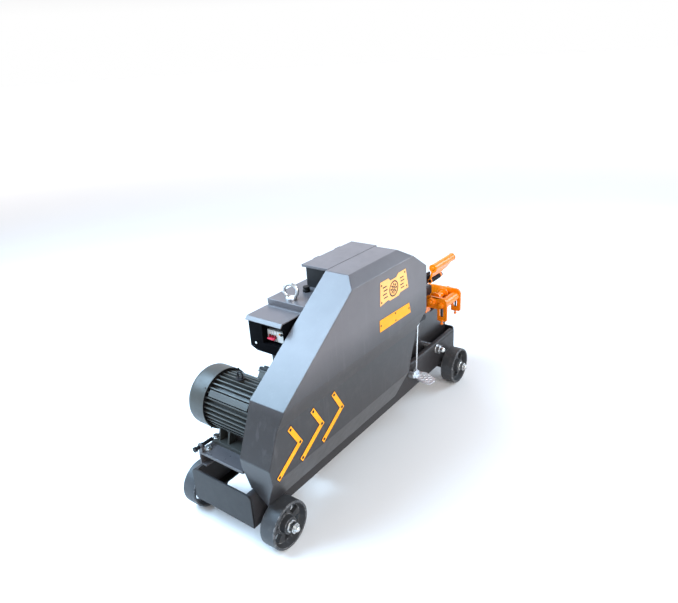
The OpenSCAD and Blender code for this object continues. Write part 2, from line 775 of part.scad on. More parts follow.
module connecting_rod() {
    color(iron) difference() {
        union() {
            ycyl(rod_big_r, -rod_w / 2, rod_w / 2, ecc_x, slide_z);
            block([ecc_x + eccentric_r, -rod_w / 2 + 6, slide_z - pad_r], [pad_x, rod_w / 2 - 6, slide_z + pad_r]);
            ycyl(pad_r, -rod_w / 2 + 6, rod_w / 2 - 6, pad_x, slide_z);
        }
        ycyl(eccentric_r + fit, -rod_w, rod_w, ecc_x, slide_z);
    }
}

// A ball bearing as its two rings and balls
module bearing(bore_r, outer_r, y, x, z) {
    ring = (outer_r - bore_r) / 3;
    ball_r = ring * 0.55;
    difference() {
        ycyl(outer_r, y, y + bearing_w, x, z);
        ycyl(outer_r - ring, y - 1, y + bearing_w + 1, x, z);
    }
    difference() {
        ycyl(bore_r + ring, y, y + bearing_w, x, z);
        ycyl(bore_r + fit, y - 1, y + bearing_w + 1, x, z);
    }
    difference() {
        ycyl(outer_r - ring, y + 5, y + bearing_w - 5, x, z);
        ycyl(bore_r + ring, y + 4, y + bearing_w - 4, x, z);
    }
}

// Bore radius, outer radius and place of each gearbox shaft
shafts = [[input_shaft_r, 42.5, fly_x, fly_z], [mid_shaft_r, 45, mid_x, mid_z], [crank_r, 54, crank_x, slide_z]];

module bearings() {
    color(steel) {
        for (p = shafts) for (y = [-body_y - boss_len + 2, body_y + boss_len - 2 - bearing_w])
            bearing(p[0], p[1], y, p[2], p[3]);
        for (y = [motor_y0 + 1, motor_y1 - 11]) bearing_motor(y);
    }
}

module bearing_motor(y) {
    difference() {
        ycyl(31, y, y + 16, motor_x, motor_z);
        ycyl(17 + fit, y - 1, y + 17, motor_x, motor_z);
    }
}

// A round cap with its screws over each bearing
module bearing_caps() {
    color(graphite) for (i = [0 : 2]) for (s = [0, 180]) {
        p = shafts[i];
        far = s == 0;
        translate([p[2], 0, p[3]]) rotate([0, 0, s]) difference() {
            union() {
                ycyl(p[1] + 12, body_y + boss_len, body_y + boss_len + 4);
                for (a = [30 : 60 : 330]) rotate([0, a, 0])
                    yhex(6, body_y + boss_len + 4, body_y + boss_len + 7, p[1] + 5, 0);
            }
            if (i == 0 && !far) ycyl(p[0] + 1, body_y, body_y + boss_len + 20);
        }
    }
}

function housing_points(t) = [[body_x0 + t, body_z0 + t], [body_x1 - t, body_z0 + t], [body_x1 - t, seat_low - 14 - t],
    [body_x1 - 16 - t * 0.7, seat_low - t], [seat_x0 + t, seat_low - t], [seat_x0 + t, throat_floor - t],
    [throat_x - t, throat_floor - t], [throat_x - t, nose_top - t], [slope_x1 - t * 0.5, nose_top - t],
    [slope_x0 - t * 0.5, body_top - t], [body_x0 + t, body_top - t]];

module gearbox_housing() {
    color(graphite) difference() {
        union() {
            side_plate(housing_points(0), -body_y, body_y);
            block([seat_x0, tall_y0, seat_low - 1], [seat_x0 + 32, tall_y1, seat_low + 49]);
            block([seat_x0, tall_y0 + 28, seat_low - 1], [seat_x0 + 50, tall_y1, seat_top]);
            for (p = shafts) ycyl(p[1] + 14, -body_y - boss_len, body_y + boss_len, p[2], p[3]);
        }
        side_plate(housing_points(body_t), -body_y + body_t, body_y - body_t);
        for (p = shafts) {
            ycyl(p[0] + 4, -body_y - boss_len - 1, body_y + boss_len + 1, p[2], p[3]);
            ycyl(p[1], -body_y - boss_len - 1, -body_y - 2, p[2], p[3]);
            ycyl(p[1], body_y + 2, body_y + boss_len + 1, p[2], p[3]);
        }
        block([cover_x0 + 14, -body_y + body_t + 6, body_top - body_t - 1],
            [cover_x0 + cover_len - 14, body_y - body_t - 6, body_top + 1]);
        block([slide_x1 - 20, -slide_w / 2 - 2, slide_z - slide_h / 2 - 2],
            [throat_x + 1, slide_w / 2 + 2, slide_z + slide_h / 2 + 2]);
        for (x = tie_x) ycyl(tie_r + gap, -body_y - 1, body_y + 1, x, tie_z);
        ycyl(lever_r + fit, -body_y - 1, -body_y + body_t + 1, lever_x, rod_top[1]);
        for (z = [blade_z0 + 14, blade_z0 + blade_h - 14]) xcyl(6 + gap, seat_x0 - 1, seat_x0 + 51, fixed_y(), z);
    }
}

function fixed_y() = shear_y + blade_clear + blade_w / 2;

module top_cover() {
    x1 = cover_x0 + cover_len;
    y = body_y + 3;
    color(graphite) difference() {
        block([cover_x0, -y, body_top], [x1, y, cover_z]);
        block([cover_x0 + cover_t, -y + cover_t, body_top - 1], [x1 - cover_t, y - cover_t, cover_z - cover_t]);
        zcyl(10 + fit, cover_z - 10, cover_z + 1, eye_x(), 0);
        zcyl(8, cover_z - 10, cover_z + 1, breather_x(), 0);
    }
}

function eye_x() = cover_x0 + 33;
function breather_x() = cover_x0 + 113;

module rain_hood() {
    x0 = body_x0 - hood_len;
    color(graphite) {
        block([x0, -body_y, body_top - cover_t], [body_x0, body_y, body_top]);
        side_plate([[x0, body_top], [x0 - 10, body_top - 12], [x0 - 7, body_top - 14], [x0 + 2, body_top - cover_t]],
            -body_y, body_y);
    }
}

module lifting_eye() {
    color(zinc) {
        ring_eye(eye_x(), 0, cover_z, 24, 6, 10, cover_t, 15);
        zcyl(10, body_top - 20, cover_z - cover_t, eye_x(), 0);
        block([eye_x() - 15, -body_y + body_t, body_top - body_t - 14], [eye_x() + 22, body_y - body_t, body_top - body_t - 2]);
    }
}

module breather() {
    color(black) {
        zcyl(7.9, cover_z - cover_t - 6, cover_z, breather_x(), 0);
        zcyl(13, cover_z, cover_z + 8, breather_x(), 0);
        zcyl(9, cover_z + 8, cover_z + 12, breather_x(), 0);
        zcyl(12, cover_z + 12, cover_z + 19, breather_x(), 0);
    }
}

// Oil sight glass on the far wall and drain plug at the bottom of the rear wall
module oil_fittings() {
    color(zinc) difference() {
        ycyl(20, body_y, body_y + 7, body_x0 + 90, slide_z - 100);
        ycyl(13, body_y - 1, body_y + 8, body_x0 + 90, slide_z - 100);
    }
    color([0.75, 0.55, 0.2]) ycyl(13, body_y, body_y + 4, body_x0 + 90, slide_z - 100);
    color(zinc) translate([body_x0 - 10, 0, body_z0 + 30]) rotate([0, 90, 0]) cylinder(r = 14, h = 10, $fn = 6);
}

module slide_guide() {
    hw = slide_w / 2 + fit;
    hh = slide_h / 2 + fit;
    inner = body_y - body_t;
    color(iron) difference() {
        block([slide_x0, -inner, slide_z - hh - 14], [slide_x1 - 4, inner, nose_top - body_t]);
        block([slide_x0 - 1, -hw, slide_z - hh], [slide_x1, hw, slide_z + hh]);
    }
    color(iron) block([slide_x0, -inner, throat_floor - body_t], [slide_x1 - 4, inner, slide_z - hh - 14]);
}

module slide_block() {
    hw = slide_w / 2;
    hh = slide_h / 2;
    color(steel) difference() {
        block([slide_x0, -hw, slide_z - hh], [slide_x1, hw, slide_z + hh]);
        block([slide_x0 - 1, -rod_w / 2 + 3, slide_z - pocket_h / 2],
            [pocket_x1, rod_w / 2 - 3, slide_z + pocket_h / 2]);
    }
}

module moving_blade() {
    y1 = shear_y;
    color(zinc) {
        block([slide_x1, y1 - blade_w, blade_z0], [moving_x1, y1, blade_z0 + blade_h]);
        xcyl(9, moving_x1, moving_x1 + 5, y1 - blade_w / 2, blade_z0 + blade_h / 2 - 16);
    }
}

module fixed_blade() {
    y0 = shear_y + blade_clear;
    color(zinc) block([seat_x0 - 20, y0, blade_z0], [seat_x0, y0 + blade_w, blade_z0 + blade_h]);
    color(zinc) for (z = [blade_z0 + 14, blade_z0 + blade_h - 14]) {
        xcyl(6, seat_x0, seat_x0 + 54, fixed_y(), z);
        translate([seat_x0 + 50, fixed_y(), z]) rotate([0, 90, 0]) cylinder(r = 10, h = 8, $fn = 6);
    }
}

breaker_y = [-74, 16];
breaker_z = [switch_z0 + 38, switch_z0 + 80];
recess_z = [switch_z0 + 34, switch_z0 + 98];
recess = switch_box_d - 58;

module switch_box() {
    t = box_t;
    y1 = body_y - 2;
    outline = [[-body_y, switch_z0], [y1 - 28, switch_z0], [y1, switch_z0 + 12], [y1, switch_z1], [-body_y, switch_z1]];
    inner = [[-body_y + t, switch_z0 + t], [y1 - 28, switch_z0 + t], [y1 - t, switch_z0 + 12 + t],
        [y1 - t, switch_z1 - t], [-body_y + t, switch_z1 - t]];
    color(black) {
        difference() {
            cross_plate(outline, switch_x, body_x0);
            cross_plate(inner, switch_x + t, body_x0 - t);
            block([switch_x - 1, breaker_y[0], recess_z[0]], [switch_x + t + 1, breaker_y[1], recess_z[1]]);
            zcyl(7, switch_z0 - 1, switch_z0 + t + 1, switch_x + 40, -30);
        }
        difference() {
            block([switch_x + t, breaker_y[0] - 1, recess_z[0] - t],
                [switch_x + recess + t, breaker_y[1] + t, recess_z[1] + t]);
            block([switch_x, breaker_y[0], recess_z[0]], [switch_x + recess, breaker_y[1], recess_z[1]]);
        }
    }
    color(black) difference() {
        union() {
            zcyl(16, switch_z0 - 4, switch_z0, switch_x + 40, -30);
            zcyl(11, switch_z0 - 16, switch_z0 - 4, switch_x + 40, -30);
        }
        zcyl(7, switch_z0 - 17, switch_z0 + 1, switch_x + 40, -30);
    }
    color(zinc) translate([switch_x, 45, switch_z0 + 30]) rotate([0, -90, 0]) cylinder(r = 5, h = 4, $fn = 24);
}

toggle_z = breaker_z[0] + 15;
toggle_x = switch_x + recess - 12;
button_y = breaker_y[0] + 24;
button_z = breaker_z[1] - 10;

// The breaker's face has a slot for the toggles and a blind hole for the button
module breaker() {
    x0 = switch_x + recess - 13;
    color([0.85, 0.85, 0.83]) difference() {
        block([x0, breaker_y[0] + 18, breaker_z[0] + 1], [switch_x + recess, breaker_y[1] - 3, breaker_z[1] - 3]);
        block([x0 - 1, -24, toggle_z - 9], [x0 + 10, 6, toggle_z + 9]);
        ycyl(3 + fit, -26, 8, toggle_x, toggle_z);
        xcyl(4 + fit, x0 - 1, x0 + 10, button_y, button_z);
    }
    color([0.9, 0.6, 0.1]) xcyl(4, switch_x + recess - 6, switch_x + recess, breaker_y[0] + 7, breaker_z[1] - 12);
}

// Three toggles on one pivot, tied by a bar
module breaker_toggle() {
    color([0.5, 0.02, 0.05]) {
        for (y = [-22, -12, -2]) block([toggle_x - 10, y, toggle_z - 3], [toggle_x + 6, y + 6, toggle_z + 3]);
        ycyl(3, -26 + gap, 8 - gap, toggle_x, toggle_z);
        block([toggle_x - 14, -22, toggle_z - 5], [toggle_x - 8, 4, toggle_z + 2]);
    }
}

module push_button() {
    color(black) xcyl(4, switch_x + recess - 19, switch_x + recess - 8, button_y, button_z);
}

module tool_box() {
    t = box_t;
    color(graphite) difference() {
        block([box_x0, box_y0, cover_z], [box_x0 + tool_box_len, box_y0 + tool_box_w, cover_z + tool_box_h]);
        block([box_x0 + t, box_y0 + t, cover_z + t],
            [box_x0 + tool_box_len - t, box_y0 + tool_box_w - t, cover_z + tool_box_h + 1]);
    }
    color(zinc) xcyl(2.5, box_x0 + 30, box_x0 + tool_box_len - 30, hinge_y(), hinge_z());
    color(graphite) for (x = [box_x0 + 30, box_x0 + tool_box_len - 50])
        block([x, box_y0 + tool_box_w - 1, hinge_z() - 14], [x + 20, hinge_y() + 3.5, hinge_z() + 3.5]);
}

function hinge_y() = box_y0 + tool_box_w + 14;
function hinge_z() = cover_z + tool_box_h - 6;

module tool_box_lid() {
    x0 = box_x0 - 12;
    x1 = box_x0 + tool_box_len + 12;
    y0 = box_y0 - 9;
    y1 = box_y0 + tool_box_w + 9;
    z = cover_z + tool_box_h + gap;
    color(graphite) {
        difference() {
            block([x0, y0, z - 7], [x1, y1, z + box_t]);
            block([x0 + box_t, y0 + box_t, z - 8], [x1 - box_t, y1 - box_t, z]);
            for (x = [box_x0 + 29, box_x0 + tool_box_len - 51]) block([x, y1 - box_t - 1, z - 8], [x + 22, y1 + 1, z]);
        }
        for (x = [box_x0 + 60, box_x0 + tool_box_len - 90]) difference() {
            union() {
                block([x, y1 - 1, hinge_z() - 2], [x + 30, hinge_y(), z + box_t]);
                xcyl(5, x, x + 30, hinge_y(), hinge_z());
            }
            xcyl(2.5 + fit, x - 1, x + 31, hinge_y(), hinge_z());
        }
    }
}

// The guard is the common part of a side outline and an end outline
function guard_side(t) = [[7 + t, guard_z_mid], [408 + t * 0.6, guard_top - t], [705 - t * 0.6, guard_top - t],
    [846 - t, 678 - t * 0.6], [846 - t, guard_z_mid], [790 - t, guard_z_mid - 56], [728 - t, guard_z_mid - 219],
    [690 - t, guard_low + t], [-46 + t, guard_low + t], [-63 + t, guard_z_mid - 167]];
function guard_end(t) = concat(t > 0 ? [[guard_y0 + 1, guard_low + t], [guard_y0 + 1, guard_top - t]] :
    [[-rail_y - 4, rail_z1 - rail_bend + 2], [bend_y, rail_z1 + 4], [bend_y + 14, rail_z1 + 6],
    [guard_y0, rail_z1 + 80], [guard_y0, guard_top]],
    [[guard_y1 + 42 + t * 0.4, guard_top - t], [guard_y1 + t, guard_top - 30 - t * 0.6], [guard_y1 + t, guard_z_mid],
    [guard_y1 + panel_in + t, guard_z_mid - 56], [guard_y1 + panel_in + t, guard_low + 104],
    [guard_y1 + 55 + t, guard_low + t]]);

module guard_solid(t) {
    intersection() {
        side_plate(guard_side(t), guard_y1 - 1, guard_y0 + (t > 0 ? 1 : 0));
        cross_plate(guard_end(t), -100, 900);
    }
}

module belt_guard() {
    color(graphite) difference() {
        guard_solid(0);
        guard_solid(guard_t);
    }
    color(graphite) for (p = guard_lugs()) difference() {
        side_plate([[p[0] - 18, p[1]], [p[0] + 18, p[1]], [p[0] + 18, guard_top - guard_t], [p[0] - 18, guard_top - guard_t]],
            guard_y0 - 3, guard_y0);
        ycyl(5 + gap, guard_y0 - 4, guard_y0 + 1, p[0], p[1] + 20);
    }
}

// Places of the guard's hanging lugs, as x and the lug's lower edge
function guard_lugs() = [for (x = [460, 660]) [x, body_top - 60]];

module guard_fixings() {
    color(zinc) for (p = guard_lugs()) {
        ycyl(9, guard_y0, -body_y, p[0], p[1] + 20);
        ycyl(5, guard_y0 - 12, guard_y0, p[0], p[1] + 20);
        yhex(9, guard_y0 - 10, guard_y0 - 3, p[0], p[1] + 20);
    }
}

// A strip along three places, w wide to each side, with a mitred corner and ends w past the places
function unit(v) = v / norm(v);
function side(v) = [-v[1], v[0]];
function strip(p, w) = let (a = unit(p[1] - p[0]), b = unit(p[2] - p[1]),
    m = (side(a) + side(b)) / (1 + side(a) * side(b)) * w)
    [p[0] + (side(a) - a) * w, p[1] + m, p[2] + (side(b) + b) * w,
    p[2] + (b - side(b)) * w, p[1] - m, p[0] - (side(a) + a) * w];

chevron_places = [[39, -80], [76, -144], [-26, -209]];
chevron_pitch = 107.5;

// The chevrons, the ornament plate, the blank name plate and their rivets
module guard_plates() {
    y = guard_y1 + panel_in;
    color(amber) for (i = [0 : 2]) difference() {
        places = [for (p = chevron_places) [p[0] + i * chevron_pitch, guard_z_mid + p[1] + i * 3]];
        side_plate(strip(places, chevron_w / 2), y - 1, y);
        for (p = places) ycyl(3.5, y - 2, y + 1, p[0], p[1]);
    }
    color(cream) side_plate([[519, 629], [570, 636], [582, 629], [640, 629], [652, 637], [708, 637],
        [691, 713], [640, 713], [626, 702], [586, 702], [575, 714], [524, 714]], guard_y1 - 1, guard_y1);
    color(amber) side_plate([[513, 535], [722, 532], [712, 574], [513, 579]], guard_y1 - 1, guard_y1);
    color(zinc) for (p = [[530, 700], [684, 702], [528, 640], [697, 648], [522, 557], [708, 556]])
        ycyl(3, guard_y1 - 2.5, guard_y1 - 1, p[0], p[1]);
}

// A plate across the machine with a slotted leg, starting at y_in
module bracket(x, y_in) {
    y0 = bracket_y;
    x1 = x + bracket_t;
    z1 = bracket_z1;
    low = seat_low + 6;
    foot = y_in > -body_y ? [[-body_y, low], [-body_y, seat_low], [y_in, seat_low]] : [[y_in, low]];
    difference() {
        cross_plate(concat([[y_in, z1], [y0 + 22, z1], [y0 + 11, z1 - 3], [y0 + 3, z1 - 11], [y0, z1 - 22],
            [y0, leg_z0 + 6], [y0 + 6, leg_z0], [y0 + leg_w, leg_z0], [y0 + leg_w, low - 4],
            [y0 + leg_w + 4, low]], foot), x, x1);
        cross_plate([[leg_y - slot_w / 2, outer_z - roller_travel], [leg_y + slot_w / 2, outer_z - roller_travel],
            [leg_y + slot_w / 2, outer_z], [leg_y - slot_w / 2, outer_z]], x - 1, x1 + 1);
        for (z = [outer_z, outer_z - roller_travel]) xcyl(slot_w / 2, x - 1, x1 + 1, leg_y, z);
        zcyl(screw_r + fit, leg_z0 - 1, outer_z, x + bracket_t / 2, leg_y);
    }
    for (xa = [x - 4, x1]) block([xa, leg_y - 10, leg_z0], [xa + 4, leg_y + 10, leg_z0 + leg_lug]);
}

// The near bracket stands on a wall plate, the far one on the front seat
module roller_brackets() {
    color(orange) {
        bracket(near_x, -body_y);
        block([near_x - 18, -body_y - 9, seat_low - 16], [near_x + bracket_t + 14, -body_y, seat_low + 10]);
        bracket(far_x, tall_y0);
    }
    color(orange) {
        xcyl(roller_axle_r, near_x - 24, far_x + bracket_t + 22, inner_y, inner_z);
        for (x = [near_x - 17, far_x + bracket_t]) translate([x, inner_y, inner_z]) rotate([0, 90, 0])
            cylinder(r = nut_r, h = 17, $fn = 6);
    }
}

module inner_roller() {
    x0 = near_x + bracket_t + gap;
    x1 = far_x - gap;
    color(orange) difference() {
        union() {
            xcyl(core_r, x0, x1, inner_y, inner_z);
            for (x = [x0 + 20, x1 - 34]) xcyl(flange_r, x, x + 7, inner_y, inner_z);
        }
        xcyl(roller_axle_r + fit, x0 - 1, x1 + 1, inner_y, inner_z);
    }
}

module outer_roller() {
    x0 = near_x + bracket_t + gap;
    x1 = far_x - gap;
    color(orange) difference() {
        xcyl(outer_roller_r, x0, x1, leg_y, outer_z);
        xcyl(roller_axle_r + fit, x0 - 1, x1 + 1, leg_y, outer_z);
    }
}

// The outer roller's axle, its nuts and the screws that set its height
module height_screws() {
    x1 = far_x + bracket_t;
    color(orange) {
        xcyl(roller_axle_r, near_x - 12, x1 + 12, leg_y, outer_z);
        for (x = [near_x - 10, x1 + gap]) translate([x, leg_y, outer_z]) rotate([0, 90, 0])
            cylinder(r = roller_axle_r + 5, h = 10 - gap, $fn = 6);
        for (x = [near_x, far_x]) {
            zcyl(screw_r, leg_z0 - 16, outer_z, x + bracket_t / 2, leg_y);
            zhex(screw_r + 3.5, leg_z0 - 16, leg_z0 - 10, x + bracket_t / 2, leg_y);
        }
    }
}

// A C-shaped plate on the near wall, whose head carries the pivot pin
module hold_down_bracket() {
    x0 = hold_x0 - 56;
    x1 = hold_x0 + 28;
    y0 = -body_y - 8;
    ear_x1 = spring_x0 - gap;
    color(black) {
        side_plate([[x0, nose_top - 39], [throat_x - 2, nose_top - 39], [throat_x - 2, nose_top - 2],
            [x0 + 40, nose_top - 2], [x0 + 40, hold_pin_z - 14], [x1, hold_pin_z - 14], [x1, hold_pin_z + 33],
            [x0, hold_pin_z + 33]], y0, -body_y);
        xcyl(hold_pin_r + 4, hold_ear_x, ear_x1, hold_pin_y, hold_pin_z);
        block([hold_ear_x, hold_pin_y, hold_pin_z - 8], [ear_x1, y0, hold_pin_z + 8]);
        xcyl(hold_pin_r, hold_x0 - 2, spring_x1 + 18, hold_pin_y, hold_pin_z);
        xcyl(hold_pin_r + 3, spring_x1 + 10, spring_x1 + 18, hold_pin_y, hold_pin_z);
    }
}

// One unbroken coil round the pivot pin, with 8 rings a turn and 6 sides
module hold_down_spring() {
    sides = 6;
    per_turn = 8;
    rings = spring_turns * per_turn;
    lead = atan2(spring_pitch, 2 * PI * spring_coil_r);
    function ring(i, reach) = let (a = i * 360 / per_turn, t = [sin(lead), -cos(lead) * sin(a), cos(lead) * cos(a)])
        [for (j = [0 : sides - 1])
        let (b = j * 360 / sides, q = spring_coil_r + spring_wire_r * cos(b), w = spring_wire_r * sin(b))
        [spring_x0 + spring_wire_r + i * spring_pitch / per_turn + w * cos(lead),
            hold_pin_y + q * cos(a) + w * sin(lead) * sin(a), hold_pin_z + q * sin(a) - w * sin(lead) * cos(a)]
            + t * reach];
    tail = 2 * spring_wire_r;
    points = concat(ring(0, -tail), [for (i = [0 : rings]) each ring(i, 0)], ring(rings, tail));
    faces = [for (i = [0 : rings + 1]) for (j = [0 : sides - 1]) let (k = (j + 1) % sides)
        each [[i * sides + j, i * sides + k, (i + 1) * sides + k], [i * sides + j, (i + 1) * sides + k, (i + 1) * sides + j]]];
    ends = [[for (j = [sides - 1 : -1 : 0]) j], [for (j = [0 : sides - 1]) (rings + 2) * sides + j]];
    color(black) polyhedron(points, concat(faces, ends), convexity = 10);
    turn = per_turn * sides;
    own_gap = min([for (i = [0 : 2 * sides - 1]) for (j = [turn - sides : 2 * turn - 1]) norm(points[i] - points[j])]);
    echo(spring_gap_to_itself = own_gap);
}

// The arm's web, as share of the way from pin to roller and place along X
module hold_down_arm() {
    x0 = hold_x0;
    x1 = x0 + hold_roller_len + 12;
    lug_t = 6 - gap;
    reach = norm([hold_y - hold_pin_y, hold_z - hold_pin_z]);
    lean = atan2(hold_pin_y - hold_y, hold_z - hold_pin_z);
    knuckle_x = spring_x1 + gap;
    xa = x0 + 1;
    xb = x0 + lug_t - 1;
    xc = x1 - lug_t + 1;
    xd = x1 - 1;
    color(orange) difference() {
        union() {
            translate([0, hold_pin_y, hold_pin_z]) rotate([lean, 0, 0]) translate([0, 4, 0]) rotate([90, 0, 0])
                linear_extrude(8) polygon([[xa, 0], [xb, 0], [xb, reach * 0.32],
                [knuckle_x + 1, reach * 0.28], [knuckle_x + 1, 0], [knuckle_x + 8, 0], [knuckle_x + 8, reach * 0.28],
                [x0 + 140, reach * 0.4], [xd, reach * 0.62], [xd, reach], [xc, reach],
                [xc, reach - hold_roller_r - 2], [xb, reach - hold_roller_r - 2], [xb, reach], [xa, reach]]);
            for (x = [x0, x1 - lug_t]) xcyl(hold_roller_r + 1, x, x + lug_t, hold_y, hold_z);
            xcyl(hold_pin_r + 4, x0, x0 + lug_t, hold_pin_y, hold_pin_z);
            xcyl(hold_pin_r + 4, knuckle_x, knuckle_x + 9, hold_pin_y, hold_pin_z);
            xcyl(6, x0 - 3, x1 + 3, hold_y, hold_z);
        }
        xcyl(hold_pin_r + fit, x0 - 1, knuckle_x + 10, hold_pin_y, hold_pin_z);
    }
}

module hold_down_roller() {
    x0 = hold_x0 + 6;
    color(orange) difference() {
        xcyl(hold_roller_r, x0, x0 + hold_roller_len, hold_y, hold_z);
        xcyl(6 + fit, x0 - 1, x0 + hold_roller_len + 1, hold_y, hold_z);
    }
}

// The pedal's plate in X and Y from the pivot
pedal_plate = [[0.18, 0], [0.88, 0], [1.08, 0.28], [1.05, 0.46], [0.86, 0.88], [0.6, 1], [0.14, 0.96],
    [0.02, 0.68], [0.1, 0.24]];

module pedal() {
    y0 = rod_y - 4.5;
    y1 = -rail_y - gap;
    color(zinc) difference() {
        union() {
            ycyl(13, pedal_y0, y1, pedal_x, pedal_z);
            side_plate([[pedal_x, pedal_z - 13], [pedal_x + 50, pedal_z - 17], [pedal_x + 50, pedal_z - 2],
                [pedal_x + 37, pedal_z + 8], [pedal_x, pedal_z + 13]], pedal_y0, y0);
            ycyl(rod_r, y0, y1 - 2, rod_bottom[0], rod_bottom[1]);
            translate([pedal_x, rod_y + 3, pedal_z - 12]) rotate([8, 4, 0]) translate([0, 0, -6]) linear_extrude(6)
                polygon([for (p = pedal_plate) [p[0] * pedal_len, -p[1] * pedal_w]]);
        }
        ycyl(pedal_bolt_r + fit, pedal_y0 - 1, y1 + 1, pedal_x, pedal_z);
    }
}

// The lever the rod pulls, on a shaft through the near wall
module clutch_lever() {
    y = rod_y + 5;
    color(black) {
        ycyl(lever_r, y, -body_y + body_t - 1, lever_x, rod_top[1]);
        ycyl(rod_r + 6, y, y + 6, rod_top[0], rod_top[1]);
        block([rod_top[0], y, rod_top[1] - 8], [lever_x, y + 6, rod_top[1] + 8]);
        ycyl(rod_r, rod_y - 6, y + 1, rod_top[0], rod_top[1]);
    }
}

module pull_rod() {
    d = rod_top - rod_bottom;
    lean = atan2(d[0], d[1]);
    eye_r = rod_r + 1.4;
    color(zinc) difference() {
        union() {
            translate([rod_bottom[0], rod_y, rod_bottom[1]]) rotate([0, lean, 0]) cylinder(r = rod_r, h = norm(d));
            for (p = [rod_bottom, rod_top]) ycyl(eye_r + 4, rod_y - 4, rod_y + 4, p[0], p[1]);
        }
        for (p = [rod_bottom, rod_top]) ycyl(eye_r, rod_y - 5, rod_y + 5, p[0], p[1]);
    }
}

near_rail();
far_rail();
end_plates();
axle_hangers();
axles();
axle_nuts();
tie_bolts();
wheel_rear_near();
wheel_rear_far();
wheel_front_near();
wheel_front_far();
motor_base();
tension_screw();
motor_bolts();
motor_frame();
motor_end_shields();
stator();
fan_cover();
terminal_box();
motor_eye_bolt();
rotor();
motor_pulley();
v_belts();
flywheel_pulley();
input_shaft();
mid_shaft();
crankshaft();
connecting_rod();
bearings();
bearing_caps();
gearbox_housing();
top_cover();
rain_hood();
lifting_eye();
breather();
oil_fittings();
slide_guide();
slide_block();
moving_blade();
fixed_blade();
switch_box();
breaker();
breaker_toggle();
push_button();
tool_box();
tool_box_lid();
belt_guard();
guard_plates();
guard_fixings();
roller_brackets();
inner_roller();
outer_roller();
height_screws();
hold_down_bracket();
hold_down_spring();
hold_down_arm();
hold_down_roller();
pedal();
pull_rod();
clutch_lever();
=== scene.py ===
import math

import bmesh
import bpy
from bpy.props import FloatProperty, FloatVectorProperty, IntProperty, PointerProperty
from mathutils import Matrix, Vector


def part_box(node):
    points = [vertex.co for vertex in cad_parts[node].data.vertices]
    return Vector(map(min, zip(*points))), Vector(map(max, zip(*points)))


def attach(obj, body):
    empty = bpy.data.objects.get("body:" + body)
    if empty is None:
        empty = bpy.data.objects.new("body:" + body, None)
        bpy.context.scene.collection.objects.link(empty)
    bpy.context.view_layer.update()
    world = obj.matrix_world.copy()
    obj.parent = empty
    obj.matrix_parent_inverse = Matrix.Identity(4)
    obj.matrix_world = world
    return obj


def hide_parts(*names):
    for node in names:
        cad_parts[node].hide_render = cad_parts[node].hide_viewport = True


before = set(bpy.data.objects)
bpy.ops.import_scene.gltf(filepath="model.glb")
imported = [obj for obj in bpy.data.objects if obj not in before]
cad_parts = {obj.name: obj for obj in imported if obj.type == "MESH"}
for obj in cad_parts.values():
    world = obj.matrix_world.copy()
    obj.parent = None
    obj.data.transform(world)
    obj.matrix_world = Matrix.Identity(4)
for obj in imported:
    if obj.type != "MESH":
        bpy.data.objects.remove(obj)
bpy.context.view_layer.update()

bl_info = {
    "name": "Rebar cutting machine",
    "version": (1, 0, 0),
    "blender": (4, 5, 0),
    "location": "3D View > Sidebar > Rebar cutter",
    "description": "Dresses the rebar cutting machine's frame with painted, plated and cast pieces",
    "category": "Object",
}

# Shapes are made in millimetres, and a finished piece is in metres.
MM = 0.001
X, Y, Z = Vector((1, 0, 0)), Vector((0, 1, 0)), Vector((0, 0, 1))

# Places that the pieces share, in millimetres
MOTOR = Vector((87.0, 0.0, 392.5))
TERMINAL_LEAN = 35.0                   # degrees that the terminal box leans over
GUARD_FRONT_Y = -223.0                 # outer face of the guard's upper part
PANEL_Y = -210.0                       # outer face of the guard's lower panel
GUARD_BEND_Z = 493.0                   # bend between the two
GUARD_INSIDE = Vector((400.0, -155.0, 450.0))
GUARD_BACK_Y = -91.6                   # the guard's lugs lie behind this plane
GUARD_LUGS_X = (460.0, 660.0)
CHEVRON_PITCH = 107.5
BREAKER_FACE_X = 211.0
BREAKER_POLES_Y = (-19.0, -9.0, 1.0)
TOGGLES_Y = (-20.5, -9.0, 2.5)
HOLD_PIN_Y, HOLD_PIN_Z = -97.0, 504.0
SPRING_START_X = 1125.0
PEDAL = Vector((864.0, -143.0, 173.5))
PEDAL_WIDTH, PEDAL_DEPTH = 78.0, 88.0

# The shaft under each pair of bearing caps, and the radius of the caps' bolt circle
BEARING_CAPS = (("input_shaft", 47.5), ("mid_shaft", 50.0), ("crankshaft", 59.0))
CAP_BOLT_Y = (100.8, 104.4)

# Corners of a chevron on the guard's lower panel, as x and height over the guard's bend
CHEVRON = ((39, -80), (76, -144), (-26, -209))
# Outlines of the plates on the guard, and the places of their rivets, as x and z
ORNAMENT_PLATE = ((519, 629), (570, 636), (582, 629), (640, 629), (652, 637), (708, 637),
                  (691, 713), (640, 713), (626, 702), (586, 702), (575, 714), (524, 714))
NAME_PLATE = ((513, 535), (722, 532), (712, 574), (513, 579))
PLATE_RIVETS = ((531, 701), (683, 703), (529, 640), (696, 648),
                (521, 557), (710, 553), (615, 569), (617, 541))
MOTIF_X, MOTIF_Z = 608.0, 666.0

# The pedal plate's outline, as shares of its width and depth
PEDAL_PLATE = ((0.18, 0), (0.88, 0), (1.08, 0.28), (1.05, 0.46), (0.86, 0.88), (0.6, 1),
               (0.14, 0.96), (0.02, 0.68), (0.1, 0.24))

# The studio, in metres. The floor glows as if self-lit, from none at the first distance from the
# machine to its full glow at the second and beyond.
FLOOR_GLOW_FROM, FLOOR_GLOW_TO, FLOOR_GLOW = 2.6, 8.0, 0.5
